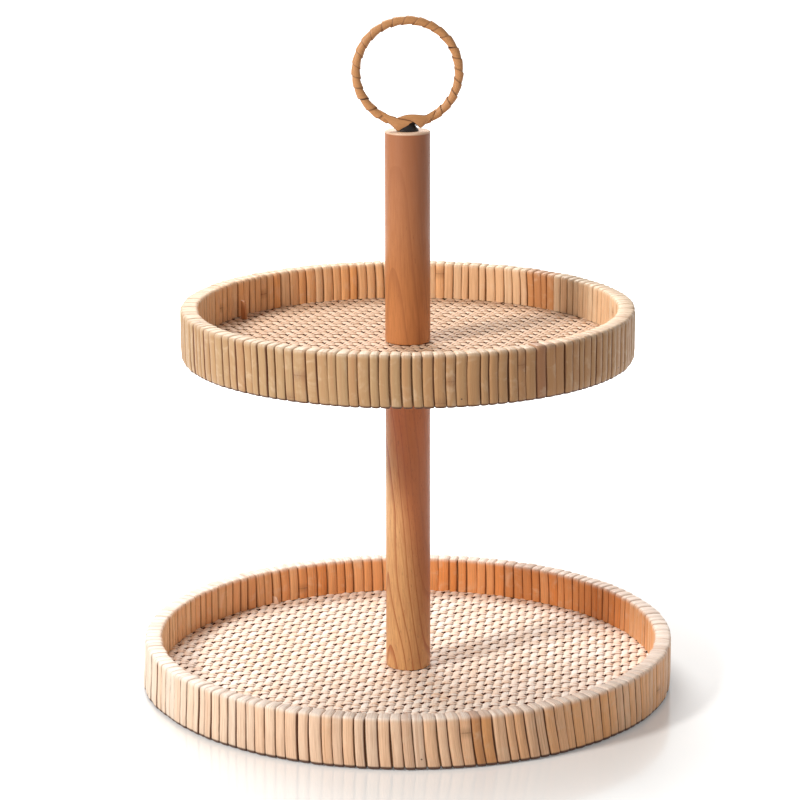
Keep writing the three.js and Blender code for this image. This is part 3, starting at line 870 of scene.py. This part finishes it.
def strip_look(tray, angle, dice):
    """Tone, knot, stain and chance of a strip."""
    tone = by_angle(TONE_ROUND[tray], angle) + 0.10 * swell(angle, 3.1, 2.2) + dice.gauss(0, 0.10)
    stain = max(0.0, dice.gauss(-0.08, 0.12))
    knot = dice.uniform(0.05, 0.55) if dice.random() < KNOT_CHANCE else NO_KNOT
    for where, first, last, marked_tone, marked_stain, marked_knot in MARKED_STRIPS:
        if where == tray and first <= math.degrees(angle) <= last:
            tone, knot = marked_tone, marked_knot
            stain = max(stain, marked_stain + dice.gauss(0, 0.06))
    return min(1.0, max(0.0, tone)), knot, min(1.0, stain), dice.random()


def build_rim(settings, tray, finish):
    radius = TRAY_RADIUS[tray]
    count = settings.lower_strips if tray == LOWER else settings.upper_strips
    dice = random.Random(settings.seed + (tray == UPPER))
    blank = strip_blank(settings, radius)
    widths = [max(0.7, min(1.35, dice.gauss(1, 0.12))) for _ in range(count)]
    share = 2 * math.pi / sum(widths)
    groups = [[] for _ in range(settings.pieces_round)]
    angle = -math.pi
    for width in widths:
        step = width * share
        middle = angle + step / 2
        gap = dice.uniform(0.0, 0.3) * MM if dice.random() < 0.70 else dice.uniform(0.4, 1.2) * MM
        lean = (by_angle(LEAN_ROUND[tray], middle) + 0.5 * swell(middle, 9.7, 3.0) + dice.gauss(0, 0.22)) * MM
        inner_lean = (1.2 * swell(middle, 2.7, 2.0) + dice.gauss(0, 0.22)) * MM
        bow = (-0.25 + 0.5 * swell(middle, 5.3, 2.4) + dice.gauss(0, 0.18)) * MM
        lift = (dice.gauss(0, 0.22) * MM, dice.gauss(-0.2, 0.16) * MM)
        look = strip_look(tray, middle, dice)
        copy = strip_copy(blank, settings, tray, middle, radius * step - gap, look, lean, inner_lean, bow, lift)
        place = int((middle + math.pi) / (2 * math.pi) * settings.pieces_round) % settings.pieces_round
        groups[place].append(copy)
        angle += step
    bpy.data.objects.remove(blank)
    for number, strips in enumerate(groups, 1):
        make_active(strips[0])
        for strip in strips:
            strip.select_set(True)
        bpy.ops.object.join()
        settle(bpy.context.object, f"{tray}_rim_strips_{number}", "cane_strip", finish, f"{tray}_rim_wrap")


# Woven floors

# Cross sections of a strand, as shares of its width and thickness, from the left edge to the middle

OVAL = ((-0.36, 0.06), (-0.50, 0.42), (-0.37, 0.82), (-0.14, 1.0))
DOME = ((-0.50, 0.0), (-0.47, 0.52), (-0.31, 0.87), (-0.10, 1.0))

SHORTEST_STRAND = 4 * MM

# How far strands run in under the strips, the gap that they leave round the spigot, how much the rows
# rise and fall at random, and over what length

UNDER_STRIPS = 2.0 * MM
SPIGOT_GAP = 0.3 * MM
UNEVENNESS = 0.12 * MM
UNEVEN_LENGTH = 60 * MM


def chord_parts(far, hole, offset):
    """Stretches of a line at that offset from the centre, inside the floor and outside the post."""
    reach = math.sqrt(max(0.0, far * far - offset * offset))
    if reach < SHORTEST_STRAND:
        return []
    if abs(offset) < hole:
        stop = math.sqrt(hole * hole - offset * offset)
        return [(-reach, -stop), (stop, reach)]
    return [(-reach, reach)]


def crown_wave(turns):
    """A wave from -1 to 1 with broad crowns and steep sides."""
    level = math.cos(turns)
    return level * (1.5 - 0.5 * level * level)


def strand_path(start, stop, step, offset, heading, height_at):
    """Points along a straight strand whose height follows the weave."""
    along = Vector((math.cos(heading), math.sin(heading), 0))
    side = Vector((-along.y, along.x, 0))
    first = math.ceil(start / step)
    last = math.floor(stop / step)
    places = [start] + [n * step for n in range(first, last + 1) if start < n * step < stop] + [stop]
    return [along * s + side * offset + Vector((0, 0, height_at(s))) for s in places]


def straight_lines(paths, dimensions, closed=False, roll=0.0):
    """A curve with a straight-sided line through each row of points."""
    clear_selection()
    bpy.ops.curve.primitive_nurbs_path_add()
    made = bpy.context.object
    made.data.dimensions = dimensions
    made.data.splines.clear()
    for path in paths:
        line = made.data.splines.new("POLY")
        line.points.add(len(path) - 1)
        line.use_cyclic_u = closed
        for point, (x, y, z) in zip(line.points, path):
            point.co = (x, y, z, 1)
            point.tilt = roll
    return made


def strand_piece(paths, section, wide, thick, roll):
    """Strands of that cross section along those paths, as one mesh."""
    corners = [(x * wide, y * thick) for x, y in section]
    corners += [(-x, y) for x, y in reversed(corners)]
    profile = straight_lines([[(x, y - thick / 2, 0) for x, y in corners]], "2D", closed=True)
    strands = straight_lines(paths, "3D", roll=roll)
    strands.data.twist_mode = "Z_UP"
    strands.data.bevel_mode = "OBJECT"
    strands.data.bevel_object = profile
    strands.data.use_fill_caps = True
    make_active(strands)
    bpy.ops.object.convert(target="MESH")
    strands = bpy.context.object
    bpy.data.objects.remove(profile)
    into_mesh(strands)
    tidy_mesh(strands, 60)
    return strands


def floor_lay(settings, tray):
    """Turn of a tray's rows from the X axis, and lean of its stakes from square to them."""
    if tray == LOWER:
        return settings.lower_row_turn, -settings.skew
    return settings.upper_row_turn, settings.skew


def build_floor(settings, rims, tray, row_finish, stake_finish):
    """Rows in pairs of strands, wound over and under the stakes, in halves that stop at the post."""
    far = TRAY_RADIUS[tray] - rims.rim_thickness + UNDER_STRIPS
    hole = POST_RADIUS - SPIGOT_STEP + SPIGOT_GAP
    turn, lean = floor_lay(settings, tray)
    row, stake = settings.row_pitch, settings.stake_pitch
    middle = TRAY_BASE[tray] + BOARD_TOP + settings.row_thickness / 2 + settings.row_wave
    rows = {"front": [], "back": []}
    count = int(far / row) + 1
    for number in range(-count, count + 1):
        for side in (-0.5, 0.5):
            offset = number * row + side * settings.pair_share * row / 2
            drift = -math.tan(lean) * offset

            def height(s, number=number, drift=drift):
                wave = crown_wave(math.pi * ((s - drift) / stake + number))
                return middle + settings.row_wave * wave + UNEVENNESS * swell(s / UNEVEN_LENGTH, number, 1.5)

            for start, stop in chord_parts(far, hole, offset):
                rows["front" if offset < 0 else "back"].append(
                    strand_path(start, stop, stake / 4, offset, turn, height))
    stakes = {"left": [], "right": []}
    square = stake * math.cos(lean)
    count = int(far / square) + 1
    for number in range(-count, count + 1):
        offset = number * square

        def height(s, number=number, offset=offset):
            up = s * math.cos(lean) + offset * math.sin(lean)
            return middle - settings.stake_wave * crown_wave(math.pi * (up / row + number))

        for start, stop in chord_parts(far, hole, offset):
            stakes["left" if offset < 0 else "right"].append(
                strand_path(start, stop, row / 6, -offset, turn + math.pi / 2 + lean, height))
    roll = math.copysign(settings.strand_roll, lean)
    kinds = (("rows", rows, OVAL, row / 2 * settings.pair_share, settings.row_thickness, 0.0, row_finish),
             ("stakes", stakes, DOME, square * settings.stake_share, settings.stake_thickness, roll, stake_finish))
    for kind, halves, section, wide, thick, rolled, finish in kinds:
        for half, paths in halves.items():
            laid = strand_piece(paths, section, wide, thick, rolled)
            settle(laid, f"{tray}_floor_{kind}_{half}", "woven_rattan", finish, f"{tray}_woven_floor")


# Where a stake's end stands up beside the rim: place on the floor, height and lean to the left in mm,
# and its turn, with the colours of its cut wood and grain

STAKE_ENDS = {
    LOWER: (-111.5, 158.7, 7.0, 1.5, 0.3, (0.84, 0.58, 0.42, 1), (0.62, 0.34, 0.20, 1)),
    UPPER: (-131.3, 81.4, 16.0, 0.6, 0.5, (0.60, 0.27, 0.11, 1), (0.36, 0.13, 0.05, 1)),
}


# Width and thickness of both ends, how far their cut slopes, their rounding and their foot's height

END_WIDTH = 4.6 * MM
END_THICKNESS = 2.4 * MM
END_SLOPE = 1.2 * MM
END_ROUNDING = 0.5 * MM
END_RISE = 2.0 * MM


def build_stake_end(tray):
    """The cut end of a stake, bent up at the rim."""
    x, y, tall, lean, turn, cut, grain = STAKE_ENDS[tray]
    finish = wood_finish(f"{tray}_stake_end", cut, grain, centre=(0.2, 0.1, 0.0), tilt=(0, 0, 0),
                         rings=300.0, waviness=0.02, pores=0.2, lines=0.4)
    end = begin(bpy.ops.mesh.primitive_cube_add, size=1)
    edit(end)
    resize(END_WIDTH, END_THICKNESS, tall * MM)
    move(0, 0, tall / 2 * MM)
    pick(end, lambda middle: middle.z > tall / 2 * MM)
    resize(0.85, 0.8, 1)
    move(-lean * MM, 0, 0)
    pick(end, lambda middle: middle.z > tall / 2 * MM and middle.x > -lean * MM)
    move(0, 0, -END_SLOPE)
    pick_all()
    bpy.ops.transform.rotate(value=turn, orient_axis="Z", center_override=(0, 0, 0))
    round_edges(END_ROUNDING, 2)
    pick_all()
    move(x * MM, y * MM, TRAY_BASE[tray] + BOARD_TOP + END_RISE)
    tidy_mesh(end, 40)
    settle(end, f"{tray}_floor_stake_end", "woven_rattan", finish, f"{tray}_woven_floor")


# Posts


def build_post(settings, name, low, high, finish):
    """A turned post with a rounded foot that stands on the weave and a spigot through it to the board."""
    foot = low + settings.foot_rise
    post = begin(bpy.ops.mesh.primitive_cylinder_add, vertices=96, radius=POST_RADIUS, depth=high - foot,
                 location=(0, 0, (foot + high) / 2))
    edit(post)
    pick(post, lambda middle: min(abs(middle.z - foot), abs(middle.z - high)) < 1e-6, "edges")
    round_edges(settings.edge_rounding, 4)
    pick(post, lambda middle: abs(middle.z - foot) < 1e-6 and middle.xy.length < POST_RADIUS / 2, "faces")
    bpy.ops.mesh.inset(thickness=SPIGOT_STEP - settings.edge_rounding, depth=0)
    extrude(0, 0, low - foot)
    tidy_mesh(post, 40)
    settle(post, f"{name}_turned", "post_wood", finish, name)


# Handle


# Half the flange's thickness, its rounding, and the steps of the cone on it: rise in mm and narrowing

FLANGE_HALF = 0.6 * MM
FLANGE_ROUNDING = 0.35 * MM
CONE_STEPS = ((0.4, 0.93), (2.2, 0.78), (2.6, 0.70), (2.2, 0.80), (0.6, 0.72))


def turn_foot(finish):
    """A flange on the post that rises as a cone to the ring."""
    foot = begin(bpy.ops.mesh.primitive_cylinder_add, vertices=56, radius=FLANGE_RADIUS, depth=2 * FLANGE_HALF,
                 location=(0, 0, POST_TOP + FLANGE_HALF))
    edit(foot)
    pick(foot, lambda middle: middle.z > POST_TOP + 1.1 * MM and middle.xy.length < FLANGE_RADIUS / 2, "faces")
    for rise, narrower in CONE_STEPS:
        extrude(0, 0, rise * MM)
        resize(narrower, narrower, 1, (0, 0, POST_TOP))
    pick(foot, lambda middle: abs(middle.xy.length - FLANGE_RADIUS) < 0.3 * MM and abs(
        middle.z - POST_TOP - FLANGE_HALF) > 0.5 * MM, "edges")
    round_edges(FLANGE_ROUNDING, 3)
    tidy_mesh(foot, 35)
    settle(foot, "ring_foot", "black_steel", finish, "handle_foot")


def on_ring(along, round_rod, from_rod):
    """A point on the wrapped ring: along it from its foot, then round its rod from the outside."""
    reach = RING_RADIUS + from_rod * math.cos(round_rod)
    return Vector((
        reach * math.sin(along), from_rod * math.sin(round_rod), RING_CENTRE - reach * math.cos(along)))


def apply_modifier(piece, kind, **settings):
    added = piece.modifiers.new(kind.lower(), kind)
    for key, value in settings.items():
        setattr(added, key, value)
    bpy.ops.object.modifier_apply(modifier=added.name)


def ribbon(name, rows, thick, finish):
    """A flat peel through rows of points that lie on its inner face."""
    long, wide = len(rows), len(rows[0])
    peel = begin(bpy.ops.mesh.primitive_grid_add, x_subdivisions=wide - 1, y_subdivisions=long - 1, size=1)
    order = sorted(peel.data.vertices, key=lambda corner: (round(corner.co.y, 5), round(corner.co.x, 5)))
    laid = peel.data.uv_layers.new(name="along_strip")
    spots = {}
    length = 0.0
    before = rows[0][0]
    for number, corner in enumerate(order):
        row, column = divmod(number, wide)
        place = rows[row][column]
        if column == 0:
            length += (place - before).length
            before = place
        corner.co = place
        spots[corner.index] = (column / (wide - 1), length)
    for loop in peel.data.loops:
        laid.data[loop.index].uv = spots[loop.vertex_index]
    make_active(peel)
    apply_modifier(peel, "SOLIDIFY", thickness=thick, offset=1.0)
    apply_modifier(peel, "BEVEL", width=0.16 * MM, segments=2, limit_method="ANGLE", angle_limit=math.radians(60))
    tidy_mesh(peel, 45)
    settle(peel, name, "cane_peel", finish, "handle_wrap")


STEPS_EACH_TURN = 16
PEEL_POINTS = 5
TAIL_POINTS = 9

# From the foot of the ring to the first turn, how far the turns stray along the ring, their gap to the
# rod, and how unevenly they lie on it

FIRST_TURN = 6.0 * MM
TURN_STRAY = 0.9 * MM
ROD_GAP = 0.3 * MM
TURN_UNEVENNESS = 0.18 * MM


def wind_ring(settings, finish):
    """Flat peel wound round the rod, each turn lying over the edge of the one before."""
    half = settings.peel_width / 2 / RING_RADIUS
    first = FIRST_TURN / RING_RADIUS + half
    last = 2 * math.pi - first
    steps = settings.turns * STEPS_EACH_TURN
    rows = []
    for i in range(steps + 1):
        turns = i / STEPS_EACH_TURN
        along = first + (last - first) * i / steps + TURN_STRAY / RING_RADIUS * swell(turns * 0.9, 4.7, 2.0)
        wide = half * (1 + 0.10 * swell(turns * 0.7, 8.1, 2.6))
        line = []
        for k in range(PEEL_POINTS):
            share = k / (PEEL_POINTS - 1)
            lift = (0.1 + 1.7 * share) * settings.peel_thickness + TURN_UNEVENNESS * swell(turns * 1.3, 1.9, 2.2)
            line.append(on_ring(
                along + wide * (2 * share - 1), -2 * math.pi * turns, RING_ROD + ROD_GAP + lift))
        rows.append(line)
    ribbon("ring_peel", rows, settings.peel_thickness, finish)


# Tails of the peel at the foot of the ring, each as lines across it from its upper to its lower edge,
# in mm: upper across, upper height, lower across, lower height and how far it stands forward

LEFT_TAIL = (
    (-21.0, 16.3, -17.5, 9.6, 3.0),
    (-16.0, 13.3, -13.8, 5.9, 3.6),
    (-11.5, 11.3, -10.6, 3.0, 4.3),
    (-7.0, 10.1, -8.4, 1.1, 4.9),
    (-1.6, 9.0, -7.2, 0.5, 5.1),
    (4.6, 7.9, -6.2, 0.4, 5.1),
)
RIGHT_TAIL = (
    (21.5, 17.2, 18.6, 9.9, 3.0),
    (17.2, 14.0, 14.0, 5.8, 3.8),
    (13.6, 12.6, 10.2, 2.8, 5.0),
    (8.6, 13.0, 7.6, 4.8, 5.8),
    (3.6, 13.3, 4.6, 7.4, 6.1),
    (-1.6, 12.8, 0.6, 9.0, 6.0),
    (-7.6, 10.9, -7.0, 10.2, 5.6),
)


def tail_rows(lines, ragged):
    """Points across a tail at each of its lines, with a torn end."""
    rows = []
    for number, (upper_x, upper_z, lower_x, lower_z, stand) in enumerate(lines):
        line = []
        for k in range(TAIL_POINTS):
            share = k / (TAIL_POINTS - 1)
            x = upper_x + (lower_x - upper_x) * share
            z = upper_z + (lower_z - upper_z) * share
            bulge = math.sin(math.pi * min(1.0, 0.12 + 0.95 * share))
            back = -(stand * (0.72 + 0.28 * bulge) + 1.6 * share * share)
            if number == len(lines) - 1:
                x += ragged * (1 if k % 2 else -1)
            line.append(Vector((x, back, 0)) * MM + Vector((0, 0, POST_TOP + z * MM)))
        rows.append(line)
    return rows


def finer(rows, steps):
    """Points between those rows, on smooth curves through them."""
    made = []
    for i in range(len(rows) - 1):
        before, here, after, beyond = rows[max(i - 1, 0)], rows[i], rows[i + 1], rows[min(i + 2, len(rows) - 1)]
        for n in range(steps):
            t = n / steps
            made.append([
                0.5 * (2 * b + (c - a) * t + (2 * a - 5 * b + 4 * c - d) * t * t + (3 * b - a - 3 * c + d) * t ** 3)
                for a, b, c, d in zip(before, here, after, beyond)])
    return made + [rows[-1]]


# Operators


class TRAY_OT_rims(bpy.types.Operator):
    """Bends cane strips over both rims"""
    bl_idname = "tray.rims"
    bl_label = "Rim strips"

    def execute(self, context):
        settings = context.scene.tray_rims
        for tray in (LOWER, UPPER):
            build_rim(settings, tray, cane_finish(settings, tray))
        return {"FINISHED"}


class TRAY_OT_floors(bpy.types.Operator):
    """Weaves both floors from rows and stakes"""
    bl_idname = "tray.floors"
    bl_label = "Woven floors"

    def execute(self, context):
        settings = context.scene.tray_floors
        for tray in (LOWER, UPPER):
            turn, lean = floor_lay(settings, tray)
            row_finish = strand_finish(
                f"{tray}_row_rattan", settings, tray, turn, turn, settings.row_pitch / 2, 0.0, ROW_SHADES)
            stake_finish = strand_finish(
                f"{tray}_stake_rattan", settings, tray, turn + math.pi / 2 + lean, turn,
                settings.stake_pitch * math.cos(lean), 0.5, STAKE_SHADES)
            build_floor(settings, context.scene.tray_rims, tray, row_finish, stake_finish)
        for tray in (LOWER, UPPER):
            build_stake_end(tray)
        return {"FINISHED"}


class TRAY_OT_posts(bpy.types.Operator):
    """Turns both posts"""
    bl_idname = "tray.posts"
    bl_label = "Posts"

    def execute(self, context):
        settings = context.scene.tray_posts
        lower = wood_finish(
            "lower_post_wood", settings.lower_light, settings.lower_dark, centre=(0.055, 0.030, 0.0),
            tilt=(1.5, 5.5, 0), rings=125.0, waviness=0.034, pores=0.55, lines=0.8,
            # Heartwood and painted shadow: the top and right side of the lower post go darker
            heart_and_shadow=(settings.lower_heart_and_shadow, LOWER_POST_HIGH.z - 148 * MM, 5.0, 60 * MM))
        upper = wood_finish(
            "upper_post_wood", settings.upper_light, settings.upper_dark, centre=(0.03, 0.05, -0.2),
            tilt=(-1.5, 3.0, 0), rings=120.0, waviness=0.026, pores=0.30, lines=0.5,
            heart_and_shadow=(settings.upper_heart, POST_TOP - 92 * MM, 2.0, 108 * MM), end=POST_TOP)
        build_post(settings, "lower_post", LOWER_POST_LOW.z, LOWER_POST_HIGH.z, lower)
        build_post(settings, "upper_post", UPPER_POST_LOW.z, UPPER_POST_HIGH.z, upper)
        return {"FINISHED"}


class TRAY_OT_handle(bpy.types.Operator):
    """Makes the black steel ring and foot, winds the peel and crosses its two tails"""
    bl_idname = "tray.handle"
    bl_label = "Ring handle"

    def execute(self, context):
        settings = context.scene.tray_handle
        steel = metal_finish("black_steel", settings.steel, rough=0.45, metallic=0.6)
        ring = begin(
            bpy.ops.mesh.primitive_torus_add, location=(0, 0, RING_CENTRE), rotation=(math.pi / 2, 0, 0),
            major_segments=120, minor_segments=18, major_radius=RING_RADIUS, minor_radius=RING_ROD)
        tidy_mesh(ring)
        settle(ring, "ring_rod", "black_steel", steel, "handle_ring")
        turn_foot(steel)
        peel = peel_finish(settings)
        wind_ring(settings, peel)
        ribbon("peel_tail_left", finer(tail_rows(LEFT_TAIL, 0.35), 5), settings.peel_thickness, peel)
        ribbon("peel_tail_right", finer(tail_rows(RIGHT_TAIL, 0.0), 5), settings.peel_thickness, peel)
        return {"FINISHED"}


class TRAY_OT_inner_parts(bpy.types.Operator):
    """Gives boards, hoops, brads, inserts and bolts their finishes"""
    bl_idname = "tray.inner_parts"
    bl_label = "Inner parts"

    def execute(self, context):
        plywood = wood_finish(
            "plywood", light=(0.60, 0.38, 0.19, 1), dark=(0.42, 0.23, 0.10, 1), centre=(0.9, 0.4, 0.3),
            tilt=(0, 86, 0), rings=90.0, waviness=0.05, pores=0.2, lines=0.5, rough=0.55)
        hoop = wood_finish(
            "bent_wood", light=(0.47, 0.26, 0.12, 1), dark=(0.30, 0.14, 0.06, 1), centre=(0.5, 0.2, 0.1),
            tilt=(0, 80, 0), rings=140.0, waviness=0.03, pores=0.2, lines=0.5, rough=0.6)
        zinc = metal_finish("zinc_steel", (0.56, 0.57, 0.58, 1), rough=0.34, spots=(0.36, 0.36, 0.35, 1))
        brass = metal_finish("brass", (0.62, 0.44, 0.16, 1), rough=0.36, spots=(0.36, 0.22, 0.08, 1))
        chosen = (
            ("base_board", plywood), ("rim_hoop", hoop), ("brad", zinc), ("insert", brass),
            ("base_bolt", zinc), ("base_washer", zinc), ("middle_stud", zinc))
        for name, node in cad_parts.items():
            for word, finish in chosen:
                if word in name:
                    put_finish(node, finish)
        return {"FINISHED"}


class TRAY_OT_studio(bpy.types.Operator):
    """Sets the floor, the lamps, the room and the camera"""
    bl_idname = "tray.studio"
    bl_label = "Studio"

    def execute(self, context):
        settings = context.scene.tray_studio
        lay_ground(settings)
        hang_lamp("key_lamp", aimed_at=0.20, around=-54, rise=33, away=2.2, size=0.40,
                  power=settings.key_power, colour=(1.0, 0.985, 0.96))
        hang_lamp("back_lamp", aimed_at=0.10, around=196, rise=50, away=2.4, size=1.3,
                  power=settings.back_power, colour=(1.0, 1.0, 1.0))
        paint_room(settings)
        stand_camera(settings)
        context.scene.view_settings.view_transform = "Standard"
        return {"FINISHED"}


def seen_directly(tree):
    """1 where the camera sees a surface, directly or mirrored or through glass."""
    rays = add_node(tree, "ShaderNodeLightPath")
    return larger(larger(rays["Is Camera Ray"], rays["Is Glossy Ray"]), rays["Is Transmission Ray"])


def lay_ground(settings):
    """A pale glossy floor that keeps the tray's shadow and is plain white farther out."""
    ground = begin(bpy.ops.mesh.primitive_plane_add, size=60.0)
    ground.name = "studio_floor"
    finish, tree = new_finish("studio_floor")
    shader = tree.nodes["Principled BSDF"]
    place = object_place(tree)
    plug(shader, {"Base Color": settings.floor_colour, "IOR": 1.7,
                  "Roughness": between(noise_value(place, 3.0), 0.3, 0.7, 0.10, 0.16)})
    lift = between(length_of(place), TRAY_RADIUS[LOWER], settings.clear_reach, settings.floor_lift, 1.0)
    glow = add_node(tree, "ShaderNodeEmission", {"Color": (1, 1, 1, 1), "Strength": seen_directly(tree) * lift})
    both = add_node(tree, "ShaderNodeAddShader", {0: Wire(shader.outputs[0]), 1: glow[0]})
    plug(tree.nodes["Material Output"], {"Surface": both[0]})
    ground.data.materials.append(finish)


def hang_lamp(name, aimed_at, around, rise, away, size, power, colour):
    """A round soft lamp that looks at a height on the posts, turned and raised by those degrees."""
    around, rise = math.radians(around), math.radians(rise)
    aim = Vector((math.sin(around) * math.cos(rise), -math.cos(around) * math.cos(rise), math.sin(rise)))
    bpy.ops.object.light_add(type="AREA", location=Vector((0, 0, aimed_at)) + aim * away)
    lamp = bpy.context.object
    lamp.name = name
    lamp.rotation_euler = aim.to_track_quat("Z", "Y").to_euler()
    lamp.data.shape = "DISK"
    lamp.data.size = size
    lamp.data.energy = power
    lamp.data.color = colour


def paint_room(settings):
    """White all round: plain to the camera and in mirrors, and softer as light."""
    world = bpy.context.scene.world or bpy.data.worlds.new("room")
    bpy.context.scene.world = world
    world.use_nodes = True
    level = between(seen_directly(world.node_tree), 0.0, 1.0, settings.sky, 1.0, "LINEAR")
    plug(world.node_tree.nodes["Background"], {"Color": (1, 1, 1, 1), "Strength": level})


def stand_camera(settings):
    bpy.ops.object.camera_add()
    camera = bpy.context.object
    camera.name = "photo_camera"
    pitch, yaw, roll = settings.camera_pitch, settings.camera_yaw, settings.camera_roll
    ahead = Vector((math.sin(yaw) * math.cos(pitch), math.cos(yaw) * math.cos(pitch), -math.sin(pitch)))
    level = Vector((math.cos(yaw), -math.sin(yaw), 0))
    upright = level.cross(ahead)
    right = math.cos(roll) * level + math.sin(roll) * upright
    above = -math.sin(roll) * level + math.cos(roll) * upright
    turn = Matrix((right, above, -ahead)).transposed().to_4x4()
    camera.matrix_world = Matrix.Translation((0, -settings.camera_away, settings.camera_height)) @ turn
    camera.data.sensor_width = 36.0
    camera.data.lens = settings.lens_pixels / settings.frame_pixels * camera.data.sensor_width
    camera.data.clip_end = 100.0
    bpy.context.scene.camera = camera


class TRAY_PT_panel(bpy.types.Panel):
    """Lists the steps that build the tray, and their settings"""
    bl_idname = "TRAY_PT_panel"
    bl_label = "Two-tier tray"
    bl_space_type = "VIEW_3D"
    bl_region_type = "UI"
    bl_category = "Tray"

    def draw(self, context):
        for step in STEPS:
            self.layout.operator(step.bl_idname)
        for name in SETTINGS:
            box = self.layout.box()
            group = getattr(context.scene, name)
            for key in group.__annotations__:
                box.prop(group, key)


SETTINGS = {
    "tray_rims": RimSettings,
    "tray_floors": FloorSettings,
    "tray_posts": PostSettings,
    "tray_handle": HandleSettings,
    "tray_studio": StudioSettings,
}
STEPS = (TRAY_OT_rims, TRAY_OT_floors, TRAY_OT_posts, TRAY_OT_handle, TRAY_OT_inner_parts, TRAY_OT_studio)


def register():
    for name, group in SETTINGS.items():
        bpy.utils.register_class(group)
        setattr(bpy.types.Scene, name, bpy.props.PointerProperty(type=group))
    for step in STEPS:
        bpy.utils.register_class(step)
    bpy.utils.register_class(TRAY_PT_panel)


def unregister():
    bpy.utils.unregister_class(TRAY_PT_panel)
    for step in reversed(STEPS):
        bpy.utils.unregister_class(step)
    for name, group in reversed(SETTINGS.items()):
        delattr(bpy.types.Scene, name)
        bpy.utils.unregister_class(group)


def main():
    register()
    bpy.ops.tray.rims()
    bpy.ops.tray.floors()
    bpy.ops.tray.posts()
    bpy.ops.tray.handle()
    bpy.ops.tray.inner_parts()
    bpy.ops.tray.studio()


if __name__ == "__main__":
    main()
